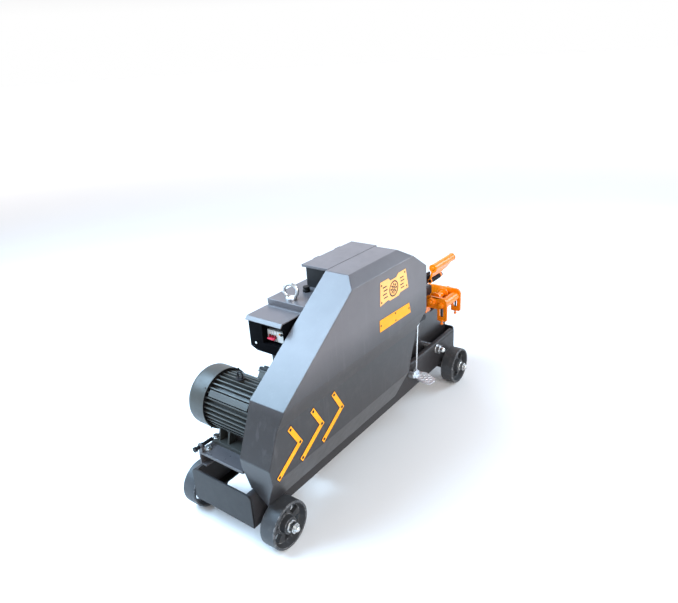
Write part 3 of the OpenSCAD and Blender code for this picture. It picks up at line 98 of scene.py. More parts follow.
# Each softbox: name, place, target, size, power in watts, colour
SOFTBOXES = (
    ("sky_softbox", (-0.85, 1.75, 2.85), (0.25, -0.15, 0.6), 2.6, 330.0, (0.52, 0.76, 1.0)),
    ("near_softbox", (-0.4, -3.4, 2.0), (0.6, 0.0, 0.5), 2.2, 100.0, (1.0, 0.97, 0.94)),
    ("rail_softbox", (3.76, -1.78, 1.68), (1.0, -0.19, 0.25), 1.2, 30.0, (0.78, 0.88, 1.0)),
    ("front_softbox", (3.7, -1.95, 2.95), (0.8, -0.2, 0.6), 1.8, 50.0, (0.55, 0.78, 1.0)),
)
# The sky's colours by height, and the soft glow behind the machine
SKY_STOPS = ((0.08, (1.0, 1.0, 1.0, 1.0)), (0.3, (0.5, 0.5, 0.52, 1.0)))
GLOW_WAY, GLOW_COLOUR = (0.74, 0.56, 0.36), (1.0, 0.93, 1.0, 1.0)
CAMERA_PLACE = (-1.0122, -1.2326, 1.4126)
CAMERA_AXES = ((0.592, -0.804, -0.0565), (0.3385, 0.1844, 0.9227), (0.7314, 0.5653, -0.3813))
SENSOR_WIDTH, LENS = 36.0, 31.184      # millimetres

COAT_ROUGHNESS = 0.1
SMOOTH_ANGLE = 38.0                    # degrees over which an edge is shaded sharp


# Settings


class RebarCutterPaints(bpy.types.PropertyGroup):
    """Colours of the paints, and how worn they are"""
    graphite: FloatVectorProperty(
        name="Graphite paint", description="Colour of the frame, body and guard",
        subtype="COLOR", default=(0.108, 0.099, 0.105), min=0, max=1)
    black: FloatVectorProperty(
        name="Black paint", description="Colour of the switch box and hold-down bracket",
        subtype="COLOR", default=(0.006, 0.006, 0.008), min=0, max=1)
    motor: FloatVectorProperty(
        name="Motor paint", description="Colour of the electric motor",
        subtype="COLOR", default=(0.05, 0.05, 0.045), min=0, max=1)
    orange: FloatVectorProperty(
        name="Orange paint", description="Colour of the roller frame and hold-down",
        subtype="COLOR", default=(0.86, 0.2, 0.0015), min=0, max=1)
    amber: FloatVectorProperty(
        name="Amber paint", description="Colour of the chevrons and the name plate",
        subtype="COLOR", default=(0.95, 0.36, 0.008), min=0, max=1)
    plate: FloatVectorProperty(
        name="Ornament plate", description="Ground colour of the ornament plate",
        subtype="COLOR", default=(0.88, 0.44, 0.14), min=0, max=1)
    wheel: FloatVectorProperty(
        name="Wheel paint", description="Colour of the cast wheels",
        subtype="COLOR", default=(0.045, 0.047, 0.051), min=0, max=1)
    wear: FloatProperty(
        name="Edge wear", description="Share of the edges that are rubbed bright",
        subtype="FACTOR", default=0.45, min=0, max=1)


class RebarCutterSizes(bpy.types.PropertyGroup):
    """Radii of the rounded edges, and the counts and sizes of small things"""
    sheet_edge: FloatProperty(
        name="Sheet bend", description="Radius of the bends in the guard's sheet",
        subtype="DISTANCE", unit="LENGTH", default=0.003, min=0.0005, max=0.006)
    cast_edge: FloatProperty(
        name="Cast edge", description="Radius of the edges of cast and welded parts",
        subtype="DISTANCE", unit="LENGTH", default=0.0015, min=0.0003, max=0.003)
    machined_edge: FloatProperty(
        name="Machined edge", description="Chamfer on machined and plated parts",
        subtype="DISTANCE", unit="LENGTH", default=0.0006, min=0.0002, max=0.001)
    tread_bars: IntProperty(
        name="Pedal bars", description="Raised bars along the pedal's plate",
        default=7, min=5, max=12)
    floor_size: FloatProperty(
        name="Floor", description="Side of the pale floor",
        subtype="DISTANCE", unit="LENGTH", default=240.0, min=10, max=400)


def paints():
    """The paint settings of the open scene."""
    return bpy.context.scene.rebar_cutter_paints


def sizes():
    """The size settings of the open scene."""
    return bpy.context.scene.rebar_cutter_sizes


# Finishes


class Finish:
    """A procedural material on Object coordinates, built round one Principled shader."""

    def __init__(self, name, roughness, metallic=0.0, coat=0.0, ior=1.5):
        self.material = bpy.data.materials.new(name)
        self.material.use_nodes = True
        self.tree = self.material.node_tree
        self.shader = self.tree.nodes["Principled BSDF"]
        self.shader.inputs["Roughness"].default_value = roughness
        self.shader.inputs["Metallic"].default_value = metallic
        self.shader.inputs["Coat Weight"].default_value = coat
        self.shader.inputs["Coat Roughness"].default_value = COAT_ROUGHNESS
        self.shader.inputs["IOR"].default_value = ior
        self.place = self.node("TexCoord").outputs["Object"]

    def node(self, kind):
        return self.tree.nodes.new("ShaderNode" + kind)

    def link(self, source, target):
        self.tree.links.new(source, target)

    def stretched(self, scale):
        """The place, with each axis scaled."""
        mapping = self.node("Mapping")
        mapping.inputs["Scale"].default_value = scale
        self.link(self.place, mapping.inputs["Vector"])
        return mapping.outputs["Vector"]

    def noise(self, scale, detail=3.0, rough=0.55, stretch=None):
        node = self.node("TexNoise")
        node.inputs["Scale"].default_value = scale
        node.inputs["Detail"].default_value = detail
        node.inputs["Roughness"].default_value = rough
        self.link(self.stretched(stretch) if stretch else self.place, node.inputs["Vector"])
        return node.outputs["Fac"]

    def cells(self, scale):
        """A colour for each small cell."""
        node = self.node("TexVoronoi")
        node.inputs["Scale"].default_value = scale
        self.link(self.place, node.inputs["Vector"])
        return node.outputs["Color"]

    def span(self, value, low, high, to_low=0.0, to_high=1.0):
        """The value, with low to high mapped on to_low to to_high and clamped."""
        node = self.node("MapRange")
        for key, number in (("From Min", low), ("From Max", high),
                            ("To Min", to_low), ("To Max", to_high)):
            node.inputs[key].default_value = number
        self.link(value, node.inputs["Value"])
        return node.outputs["Result"]

    def times(self, a, b):
        node = self.node("Math")
        node.operation = "MULTIPLY"
        self.link(a, node.inputs[0])
        if isinstance(b, (int, float)):
            node.inputs[1].default_value = b
        else:
            self.link(b, node.inputs[1])
        return node.outputs["Value"]

    def mix(self, factor, a, b):
        """Colour a where the factor is 0, and b where it is 1."""
        node = self.node("Mix")
        node.data_type = "RGBA"
        if isinstance(factor, (int, float)):
            node.inputs["Factor"].default_value = factor
        else:
            self.link(factor, node.inputs["Factor"])
        for key, colour in (("A", a), ("B", b)):
            socket = [s for s in node.inputs if s.name == key and s.type == "RGBA"][0]
            if isinstance(colour, bpy.types.NodeSocket):
                self.link(colour, socket)
            else:
                socket.default_value = (*colour, 1.0)
        return [s for s in node.outputs if s.type == "RGBA"][0]

    def height(self):
        """Height over the ground at rest, in metres."""
        node = self.node("SeparateXYZ")
        self.link(self.place, node.inputs["Vector"])
        return node.outputs["Z"]

    def reach(self):
        """Distance from the origin, in metres."""
        node = self.node("VectorMath")
        node.operation = "LENGTH"
        self.link(self.place, node.inputs[0])
        return node.outputs["Value"]

    def attribute(self, name):
        node = self.node("Attribute")
        node.attribute_name = name
        return node.outputs["Fac"]

    def colour(self, source):
        self.link(source, self.shader.inputs["Base Color"])

    def roughness(self, value):
        self.link(value, self.shader.inputs["Roughness"])

    def bump(self, height, strength, distance):
        node = self.node("Bump")
        node.inputs["Strength"].default_value = strength
        node.inputs["Distance"].default_value = distance
        self.link(height, node.inputs["Height"])
        self.link(node.outputs["Normal"], self.shader.inputs["Normal"])


def shade(colour, amount):
    """The colour made darker or lighter."""
    return tuple(min(1.0, c * amount) for c in colour)


def painted(name, colour, roughness, coat=0.0, dust=(0.2, 0.19, 0.18), dust_share=0.12,
            peel=900.0, depth=0.00008, bare=(0.42, 0.42, 0.43), ior=1.5, low_shade=1.0, mottle=0.19):
    """Sprayed paint: soft clouds, dust in patches, streaks, orange peel, and bright metal where
    the edges are rubbed. `low_shade` is the share of the colour that is left low down: a painted
    shade for the darker floor that the machine's low sides reflect."""
    f = Finish(name, roughness, coat=coat, ior=ior)
    clouds = f.span(f.noise(5.0, 4.0), 0.3, 0.7)
    ground = f.mix(clouds, shade(colour, 0.86), shade(colour, 1.12))
    # Painted shade: below about half a metre the colour darkens, for the darker floor reflected low
    # down
    if low_shade < 1.0:
        ground = f.mix(f.span(f.height(), 0.47, 0.6), shade(colour, low_shade), ground)
    patches = f.times(f.span(f.noise(26.0, 6.0, 0.7), 0.52, 0.78), dust_share)
    dusty = f.mix(patches, ground, dust)
    streaks = f.times(f.span(f.noise(60.0, 2.0, 0.5, (1.0, 1.0, 0.06)), 0.62, 0.75), 0.10)
    streaked = f.mix(streaks, dusty, shade(colour, 1.7))
    scuffs = f.span(f.noise(70.0, 5.0, 0.7), 0.7 - 0.2 * paints().wear, 0.85, 0.0, 0.5)
    rubbed = f.times(f.attribute("wear"), scuffs)
    f.colour(f.mix(rubbed, streaked, bare))
    matt = f.noise(34.0, 5.0, 0.65)
    f.roughness(f.span(matt, 0.3, 0.75, roughness - 0.4 * mottle, roughness + 0.6 * mottle))
    f.bump(f.noise(peel, 2.0), 0.35, depth)
    return f.material


def plated(name, colour, roughness, brush=None, tint=(0.70, 0.66, 0.52), grime=0.25):
    """Bright metal: fine spangle or brush lines, with a faint yellow tint and grime in patches."""
    f = Finish(name, roughness, metallic=1.0)
    spangle = f.cells(520.0)
    ground = f.mix(f.span(f.noise(40.0, 4.0), 0.35, 0.7, 0.0, 0.35), colour, tint)
    broken = f.mix(0.06, ground, spangle)
    dirt = f.times(f.span(f.noise(90.0, 6.0, 0.72), 0.5, 0.72), grime)
    f.colour(f.mix(dirt, broken, (0.1, 0.095, 0.09)))
    f.roughness(f.span(f.noise(55.0, 4.0), 0.3, 0.75, roughness - 0.07, roughness + 0.16))
    f.bump(f.noise(260.0, 2.0, 0.5, brush) if brush else f.noise(700.0, 2.0), 0.25, 0.00005)
    return f.material


def cast(name, colour, roughness, bare=(0.4, 0.4, 0.41), dust=(0.25, 0.24, 0.22),
         grain=420.0, ior=1.5):
    """Cast metal under thin paint: a sandy skin, dust in its hollows and rubbed edges."""
    f = Finish(name, roughness, ior=ior)
    skin = f.noise(grain, 5.0, 0.65)
    ground = f.mix(f.span(f.noise(9.0, 4.0), 0.3, 0.7), shade(colour, 0.8), shade(colour, 1.18))
    pitted = f.mix(f.times(f.span(skin, 0.35, 0.55, 1.0, 0.0), 0.25), ground, shade(colour, 0.45))
    dusty = f.mix(f.times(f.span(f.noise(30.0, 6.0, 0.7), 0.5, 0.75), 0.2), pitted, dust)
    rubbed = f.times(f.attribute("wear"), f.span(f.noise(80.0, 5.0, 0.7), 0.45, 0.62))
    f.colour(f.mix(f.times(rubbed, 0.6), dusty, bare))
    f.roughness(f.span(f.noise(60.0, 4.0), 0.3, 0.75, roughness - 0.06, roughness + 0.12))
    f.bump(skin, 0.5, 0.00022)
    return f.material


def moulded(name, colour, roughness, grain=1500.0, ior=1.46):
    """Moulded plastic or rubber with a fine etched skin."""
    f = Finish(name, roughness, ior=ior)
    smudge = f.times(f.span(f.noise(45.0, 4.0), 0.45, 0.7), 0.25)
    f.colour(f.mix(smudge, colour, shade(colour, 0.75)))
    f.roughness(f.span(f.noise(80.0, 3.0), 0.3, 0.7, roughness - 0.05, roughness + 0.1))
    f.bump(f.noise(grain, 2.0), 0.3, 0.00005)
    return f.material


def threaded(name, colour, band_colour=(0.012, 0.012, 0.013), low=0.331, high=0.383):
    """Painted screw heads, and the shafts near black between two heights of the rest pose."""
    f = Finish(name, 0.34, ior=1.42)
    ground = f.mix(f.span(f.noise(40.0, 4.0), 0.3, 0.7), shade(colour, 0.8), shade(colour, 1.1))
    dark_band = f.times(f.span(f.height(), low, low + 0.001), f.span(f.height(), high + 0.001, high))
    f.colour(f.mix(dark_band, ground, band_colour))
    f.roughness(f.span(f.noise(34.0, 5.0, 0.65), 0.3, 0.75, 0.3, 0.45))
    f.bump(f.noise(700.0, 2.0, 0.5, (0.05, 0.05, 1.0)), 0.3, 0.0002)
    return f.material


FINISHES = {}


def make_finishes():
    """Every finish of the machine, by the name that the pieces use."""
    p = paints()
    FINISHES.update({
        # Painted shade: the graphite paint falls to a fifth of its tone low on the machine
        "graphite_paint": painted("graphite_powder_coat", p.graphite, 0.32, low_shade=0.2, mottle=0.08,
                                  dust=(0.17, 0.165, 0.16), dust_share=0.1, bare=(0.3, 0.3, 0.31)),
        # Painted shade: a darker, less glossy copy of the graphite paint for the rails, for the
        # dark ground that they reflect
        "chassis_shaded_paint": painted("chassis_shaded_powder_coat", shade(p.graphite, 0.26), 0.38, ior=1.32,
                                 mottle=0.1, dust=(0.12, 0.12, 0.12), dust_share=0.1,
                                 bare=(0.2, 0.2, 0.21)),
        # The darkest copy of the graphite paint: painted shade on the cross plates and axle
        # hangers, for the dark ground they reflect, and the tool box's darker sheet
        "plate_shade_and_box_paint": painted("plate_shade_and_tool_box_powder_coat", shade(p.graphite, 0.12), 0.4, ior=1.33,
                             mottle=0.1, dust=(0.06, 0.06, 0.06), dust_share=0.05,
                             bare=(0.12, 0.12, 0.13)),
        "black_paint": painted("black_powder_coat", p.black, 0.45, ior=1.35,
                               dust=(0.05, 0.05, 0.05), dust_share=0.06, bare=(0.12, 0.12, 0.13)),
        "switch_paint": painted("switch_box_enamel", shade(p.black, 0.5), 0.6, ior=1.1,
                                dust=(0.02, 0.02, 0.02), dust_share=0.05, bare=(0.05, 0.05, 0.06)),
        "motor_paint": painted("motor_enamel", p.motor, 0.4, ior=1.4, dust_share=0.08, peel=600.0,
                               depth=0.00012, bare=(0.2, 0.21, 0.21)),
        # Painted shade: the graphite paint at 0.7 of its tone for the motor base, in place of the
        # graphite paint's darker low part
        "base_shaded_paint": painted("motor_base_shaded_powder_coat", shade(p.graphite, 0.7), 0.3, mottle=0.1,
                              dust=(0.16, 0.16, 0.16), dust_share=0.1, bare=(0.3, 0.3, 0.31)),
        "orange_paint": painted("orange_enamel", p.orange, 0.24, coat=0.15, ior=1.42,
                                dust=(0.5, 0.16, 0.02), dust_share=0.05, bare=(0.98, 0.46, 0.08)),
        "amber_paint": painted("amber_enamel", p.amber, 0.42, ior=1.3, dust=(0.6, 0.3, 0.06),
                               dust_share=0.06, bare=(0.95, 0.55, 0.2)),
        "plate_ground": painted("ornament_plate_enamel", p.plate, 0.42, ior=1.3,
                                dust=(0.7, 0.4, 0.12), dust_share=0.12, bare=(0.9, 0.7, 0.45)),
        "plate_line": painted("plate_outline_ink", (0.004, 0.007, 0.03), 0.5, ior=1.25,
                              dust=(0.02, 0.02, 0.03), dust_share=0.05, bare=(0.02, 0.03, 0.08)),
        "zinc_plate": plated("zinc_plating", (0.74, 0.76, 0.79), 0.26),
        "tread_plate": plated("tread_plate_zinc", (0.86, 0.92, 0.96), 0.4,
                              tint=(0.8, 0.84, 0.84), grime=0.06),
        "screw_paint": threaded("height_screw_enamel", p.orange),
        "worn_zinc": plated("worn_zinc_plate", (0.7, 0.73, 0.77), 0.42,
                            tint=(0.6, 0.62, 0.64), grime=0.35),
        "machined_steel": plated("turned_steel", (0.56, 0.57, 0.59), 0.28, brush=(1.0, 0.05, 1.0)),
        "cast_iron": cast("cast_iron_skin", (0.11, 0.11, 0.115), 0.55),
        "wheel_paint": cast("wheel_enamel", p.wheel, 0.46, grain=520.0, ior=1.36),
        "winding": plated("copper_winding", (0.5, 0.24, 0.1), 0.4, brush=(1.0, 0.08, 1.0),
                          tint=(0.3, 0.12, 0.05)),
        "belt_rubber": moulded("belt_rubber", (0.018, 0.018, 0.018), 0.75, 900.0),
        "white_plastic": moulded("breaker_shell", (0.74, 0.74, 0.71), 0.38),
        "red_plastic": moulded("toggle_red", (0.3, 0.006, 0.018), 0.3),
        "bar_red": moulded("toggle_bar_red", (0.78, 0.03, 0.09), 0.35),
        "black_plastic": moulded("black_moulding", (0.01, 0.01, 0.01), 0.45, ior=1.3),
        "lamp": moulded("amber_lens", (0.9, 0.33, 0.01), 0.12),
    })


# Shapes


def turn_to(axis):
    """The turn that brings the Z axis on to another."""
    return Z.rotation_difference(Vector(axis).normalized()).to_matrix().to_4x4()


def in_turn(elements):
    """Each element once, in the order given, so that every run makes the same mesh."""
    return list(dict.fromkeys(elements))


class Shape:
    """A mesh under construction, in millimetres, that becomes one piece."""

    def __init__(self):
        self.bm = bmesh.new()
        self.wear = self.bm.verts.layers.float.new("wear")

    def box(self, low, high, edge=0.0, segments=2):
        """A block between two corners."""
        low, high = Vector(low), Vector(high)
        matrix = Matrix.Translation((low + high) / 2) @ Matrix.Diagonal((*(high - low), 1.0))
        made = bmesh.ops.create_cube(self.bm, size=1.0, matrix=matrix)["verts"]
        return self.round_off(made, edge, segments)

    def bar(self, start, end, radius, sides, edge):
        """A round or many-sided bar between two points."""
        start, end = Vector(start), Vector(end)
        matrix = Matrix.Translation((start + end) / 2) @ turn_to(end - start)
        made = bmesh.ops.create_cone(self.bm, cap_ends=True, segments=sides, radius1=radius,
                                     radius2=radius, depth=(end - start).length,
                                     matrix=matrix)["verts"]
        return self.round_off(made, edge)

    def plate(self, outline, low, high, edge=0.0, inset=0.0):
        """An outline of x and z, smaller by the inset, that is extruded from y = low to high."""
        verts = [self.bm.verts.new((x, low, z)) for x, z in outline]
        face = self.bm.faces.new(verts)
        if inset > 0:
            border = bmesh.ops.inset_individual(self.bm, faces=[face], thickness=inset,
                                                use_even_offset=True)["faces"]
            bmesh.ops.delete(self.bm, geom=border, context="FACES")
            verts = list(face.verts)
        grown = bmesh.ops.extrude_face_region(self.bm, geom=[face])["geom"]
        moved = [g for g in grown if isinstance(g, bmesh.types.BMVert)]
        bmesh.ops.translate(self.bm, verts=moved, vec=Y * (high - low))
        made = verts + moved
        faces = in_turn(f for v in made for f in v.link_faces)
        bmesh.ops.recalc_face_normals(self.bm, faces=faces)
        return self.round_off(made, edge)

    def turned(self, profile, centre, axis=Z, steps=56):
        """A profile of (radius, height) pairs spun round an axis through `centre`."""
        verts = [self.bm.verts.new((r, 0.0, h)) for r, h in profile]
        edges = [self.bm.edges.new(pair) for pair in zip(verts, verts[1:])]
        if profile[0][0] > 0 and profile[-1][0] > 0 and len(profile) > 2:
            edges.append(self.bm.edges.new((verts[-1], verts[0])))
        before = set(self.bm.verts) - set(verts)
        bmesh.ops.spin(self.bm, geom=verts + edges, cent=(0, 0, 0), axis=Z, angle=2 * math.pi,
                       steps=steps, use_merge=True, use_duplicate=False)
        made = [v for v in self.bm.verts if v not in before]
        bmesh.ops.remove_doubles(self.bm, verts=made, dist=0.001)
        made = [v for v in self.bm.verts if v not in before]
        faces = in_turn(f for v in made for f in v.link_faces)
        bmesh.ops.recalc_face_normals(self.bm, faces=faces)
        place = Matrix.Translation(Vector(centre)) @ turn_to(axis)
        bmesh.ops.transform(self.bm, matrix=place, verts=made)
        return made

    def coil(self, centre, radius, wire, pitch, turns, per_turn=24, sides=10):
        """A wire wound round the X axis from the +Y side, with straight ends one wire long."""
        lead = math.atan2(pitch, 2 * math.pi * radius)
        ring = bmesh.ops.create_circle(self.bm, cap_ends=False, radius=wire,
                                       segments=sides)["verts"]
        start = Matrix.Translation(Vector(centre) + Y * radius) @ Matrix.Rotation(lead, 4, "Y")
        bmesh.ops.transform(self.bm, verts=ring, matrix=start)
        edges = in_turn(e for v in ring for e in v.link_edges)
        wound = bmesh.ops.spin(self.bm, geom=ring + edges, cent=centre, axis=X,
                               dvec=X * pitch / per_turn, angle=2 * math.pi * turns,
                               steps=turns * per_turn, use_merge=False,
                               use_duplicate=False)["geom_last"]
        heading = Vector((math.sin(lead), 0.0, math.cos(lead)))
        last = [g for g in wound if isinstance(g, bmesh.types.BMEdge)]
        for loop, way in ((edges, -1), (last, 1)):
            grown = bmesh.ops.extrude_edge_only(self.bm, edges=loop)["geom"]
            tail = [g for g in grown if isinstance(g, bmesh.types.BMVert)]
            bmesh.ops.translate(self.bm, verts=tail, vec=heading * way * wire * 2)
        rims = [e for e in self.bm.edges if e.is_boundary]
        bmesh.ops.holes_fill(self.bm, edges=rims, sides=sides)
        bmesh.ops.recalc_face_normals(self.bm, faces=self.bm.faces)

    def round_off(self, verts, size, segments=2, limit=30.0):
        """Rounds the sharp edges among `verts` where there is room, and marks what is rounded
        for wear."""
        if size <= 0:
            return verts
        mine = set(verts)
        sharp = [e for e in in_turn(e for v in verts for e in v.link_edges)
                 if e.verts[0] in mine and e.verts[1] in mine and len(e.link_faces) == 2
                 and e.calc_face_angle(0.0) > math.radians(limit) and self.has_room(e, size)]
        sharp.sort(key=lambda e: e.index)
        if not sharp:
            return verts
        before = set(self.bm.verts) - mine
        result = bmesh.ops.bevel(self.bm, geom=sharp, offset=size, offset_type="OFFSET",
                                 segments=segments, profile=0.5, affect="EDGES",
                                 clamp_overlap=False, material=-1)
        rounded = set(result["faces"])
        for v in result["verts"]:
            if v.is_valid and all(f in rounded for f in v.link_faces):
                v[self.wear] = 1.0
        return [v for v in self.bm.verts if v not in before]

    @staticmethod
    def has_room(edge, size):
        """Whether a rounding of that size runs over no short edge across the edge's ends."""
        along = (edge.verts[1].co - edge.verts[0].co).normalized()
        for v in edge.verts:
            for other in v.link_edges:
                if other is edge or other.calc_length() > 2.1 * size:
                    continue
                way = (other.other_vert(v).co - v.co).normalized()
                if abs(way.dot(along)) < 0.9:
                    return False
        return True

    def node(self, name):
        """A merged copy of a CAD node's mesh."""
        before = set(self.bm.verts)
        self.bm.from_mesh(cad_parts[name].data)
        made = [v for v in self.bm.verts if v not in before]
        bmesh.ops.scale(self.bm, vec=(1 / MM,) * 3, verts=made)
        bmesh.ops.remove_doubles(self.bm, verts=made, dist=0.004)
        made = [v for v in self.bm.verts if v not in before]
        edges = in_turn(e for v in made for e in v.link_edges)
        bmesh.ops.dissolve_limit(self.bm, angle_limit=math.radians(0.4),
                                 use_dissolve_boundaries=False, verts=made, edges=edges,
                                 delimit=set())
        self.bm.verts.index_update()
        self.bm.edges.index_update()
        return [v for v in self.bm.verts if v not in before]

    def placed(self, verts, matrix):
        """Moves what was just made."""
        bmesh.ops.transform(self.bm, matrix=matrix, verts=verts)

    def piece(self, name, finish, body, stands_for=(), wall=0.0):
        """The piece in metres, with its finish, on a body of the machine. A wall, in
        millimetres, thickens an open shell."""
        bmesh.ops.scale(self.bm, vec=(MM,) * 3, verts=self.bm.verts)
        mesh = bpy.data.meshes.new(name)
        self.bm.to_mesh(mesh)
        self.bm.free()
        mesh.shade_smooth()
        mesh.set_sharp_from_angle(angle=math.radians(SMOOTH_ANGLE))
        mesh.materials.append(FINISHES[finish])
        obj = bpy.data.objects.new(name, mesh)
        bpy.context.scene.collection.objects.link(obj)
        if wall > 0:
            sheet = obj.modifiers.new("sheet_wall", "SOLIDIFY")
            sheet.thickness = wall * MM
            sheet.offset = -1.0
            sheet.use_even_offset = True
        weighted = obj.modifiers.new("even_shading", "WEIGHTED_NORMAL")
        weighted.keep_sharp = True
        weighted.weight = 60
        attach(obj, body)
        if stands_for:
            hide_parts(*stands_for)


def softened(node, name, finish, body, edge, segments=2):
    """A CAD node's shape with its edges rounded, as the real piece has them."""
    shape = Shape()
    shape.round_off(shape.node(node), edge, segments)
    shape.piece(name, finish, body, (node,))


def carry_over(node, finish):
    """A CAD node whose shape is right keeps its mesh and gets its finish."""
    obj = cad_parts[node]
    obj.data.materials.clear()
    obj.data.materials.append(FINISHES[finish])


class PieceOperator:
    """What the operators share: each makes its own pieces."""
    bl_options = {"REGISTER", "UNDO"}

    def execute(self, context):
        self.make()
        return {"FINISHED"}


# Base frame and wheels


class REBARCUTTER_OT_base_frame(PieceOperator, bpy.types.Operator):
    """Rails, cross plates, axle hangers and tie bolts"""
    bl_idname = "rebarcutter.base_frame"
    bl_label = "Base frame"

    def make(self):
        edge = sizes().cast_edge / MM
        softened("near_rail", "rail_near_channel", "chassis_shaded_paint", "frame", edge)
        softened("far_rail", "rail_far_channel", "chassis_shaded_paint", "frame", edge)
        softened("end_plates", "cross_plates", "plate_shade_and_box_paint", "frame", edge)
        softened("axle_hangers", "axle_hanger_blocks", "plate_shade_and_box_paint", "frame", edge)
        softened("tie_bolts", "tie_bolts_plated", "zinc_plate", "frame", sizes().machined_edge / MM)


class REBARCUTTER_OT_wheels(PieceOperator, bpy.types.Operator):
    """Four cast wheels, their axles and nuts"""
    bl_idname = "rebarcutter.wheels"
    bl_label = "Road wheels"

    def make(self):
        for end in ("rear", "front"):
            for flank in ("near", "far"):
                softened(f"wheel_{end}_{flank}", f"road_wheel_{end}_{flank}", "wheel_paint",
                         f"{end}_{flank}_wheel", 1.6, 3)
        softened("axles", "axle_bars", "machined_steel", "frame", 0.8)
        softened("axle_nuts", "axle_nuts_plated", "zinc_plate", "frame", 0.9)


# Motor and drive


class REBARCUTTER_OT_motor(PieceOperator, bpy.types.Operator):
    """Motor base, finned motor, fan cover, terminal box and belt tension screw"""
    bl_idname = "rebarcutter.motor"
    bl_label = "Motor"

    def make(self):
        softened("motor_base", "motor_base_plate", "base_shaded_paint", "frame", 1.2)
        softened("tension_screw", "tension_screw_blackened", "black_paint", "frame", 0.7)
        softened("motor_bolts", "motor_bolts_plated", "zinc_plate", "frame", 0.7)
        softened("motor_frame", "motor_finned_frame", "motor_paint", "frame", 0.8)
        softened("fan_cover", "fan_cover_sheet", "motor_paint", "frame", 0.5)
        softened("motor_eye_bolt", "motor_eye_blackened", "black_paint", "frame", 0.6)
        # Painted shade: a black disc closes the fan cover's mouth, where the real cover is open, so
        # the gap round the fins reads dark
        shade_disc = Shape()
        shade_disc.turned([(41.0, 116.6), (99.0, 116.6), (99.0, 118.4), (41.0, 118.4)], MOTOR, Y, 72)
        shade_disc.piece("motor_painted_shade_disc", "black_paint", "frame")
        self.terminal_box()
        carry_over("motor_end_shields", "motor_paint")
        carry_over("stator", "winding")
        carry_over("rotor", "machined_steel")

    @staticmethod
    def terminal_box():
        lean = Matrix.Translation(MOTOR) @ Matrix.Rotation(math.radians(TERMINAL_LEAN), 4, "Y")
        body = Shape()
        body.placed(body.box((-32, -88, 98), (32, -12, 126), 2.0, 3), lean)
        body.placed(body.box((-35, -91, 120), (35, -9, 126), 1.2), lean)
        body.piece("terminal_box_casting", "motor_paint", "frame", ("terminal_box",))
        lid = Shape()
        lid.placed(lid.box((-36, -90, 126.3), (36, -10, 137), 2.5, 3), lean)
        lid.placed(lid.box((-27, -81, 136), (27, -19, 143), 4.0, 4), lean)
        profile = [(7, 0), (11, 0), (11, 2), (12, 2.5), (12, 7), (10.5, 8)]
        for rib in range(3):
            profile += [(10.5, 8.4 + 2 * rib), (9.6, 9.2 + 2 * rib), (10.2, 10.2 + 2 * rib)]
        profile += [(8.5, 14), (7, 14)]
        lid.placed(lid.turned(profile, (32, -50, 113), X, 32), lean)
        lid.piece("terminal_box_lid", "black_plastic", "frame")
        screws = Shape()
        head = [(0, 2.2), (2.2, 1.9), (3.6, 0.8), (3.8, -0.6), (0, -0.6)]
        for x in (-31, 31):
            for y in (-85, -15):
                screws.placed(screws.turned(head, (x, y, 137), Z, 20), lean)
        screws.piece("terminal_box_screws", "zinc_plate", "frame")


class REBARCUTTER_OT_drive(PieceOperator, bpy.types.Operator):
    """Pulleys, belts, shafts, gears, rod and bearings inside the guard and the body"""
    bl_idname = "rebarcutter.drive"
    bl_label = "Drive"

    def make(self):
        for node in ("motor_pulley", "flywheel_pulley", "connecting_rod", "slide_guide"):
            carry_over(node, "cast_iron")
        for node in ("input_shaft", "mid_shaft", "crankshaft", "bearings", "slide_block"):
            carry_over(node, "machined_steel")
        carry_over("v_belts", "belt_rubber")
        softened("moving_blade", "moving_blade_ground", "zinc_plate", "slide", 0.6)
        softened("fixed_blade", "fixed_blade_ground", "zinc_plate", "frame", 0.6)


# Body and boxes


class REBARCUTTER_OT_body(PieceOperator, bpy.types.Operator):
    """Gearbox housing, its cover, rain hood, bearing caps and fittings"""
    bl_idname = "rebarcutter.body"
    bl_label = "Body"

    def make(self):
        softened("gearbox_housing", "housing_welded", "graphite_paint", "frame", 2.0, 3)
        softened("top_cover", "cover_folded", "graphite_paint", "frame", 1.8, 3)
        softened("rain_hood", "rain_hood_sheet", "graphite_paint", "frame", 1.2)
        softened("bearing_caps", "bearing_caps_cast", "graphite_paint", "frame", 0.4, 1)
        bolts = Shape()
        for node, reach in BEARING_CAPS:
            low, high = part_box(node)
            for turn in range(6):
                angle = math.radians(30 + 60 * turn)
                x = (low[0] + high[0]) / 2 / MM + reach * math.sin(angle)
                z = (low[2] + high[2]) / 2 / MM + reach * math.cos(angle)
                for side in (-1, 1):
                    start, end = (Vector((x, side * y, z)) for y in CAP_BOLT_Y)
                    bolts.bar(start, end, 7.1, 6, 0.7)
        bolts.piece("bearing_cap_bolts", "zinc_plate", "frame")
        softened("lifting_eye", "lifting_eye_plated", "zinc_plate", "frame", 0.8)
        softened("breather", "breather_cap", "black_plastic", "frame", 0.8)
        softened("oil_fittings", "oil_fittings_plated", "zinc_plate", "frame", 0.7)


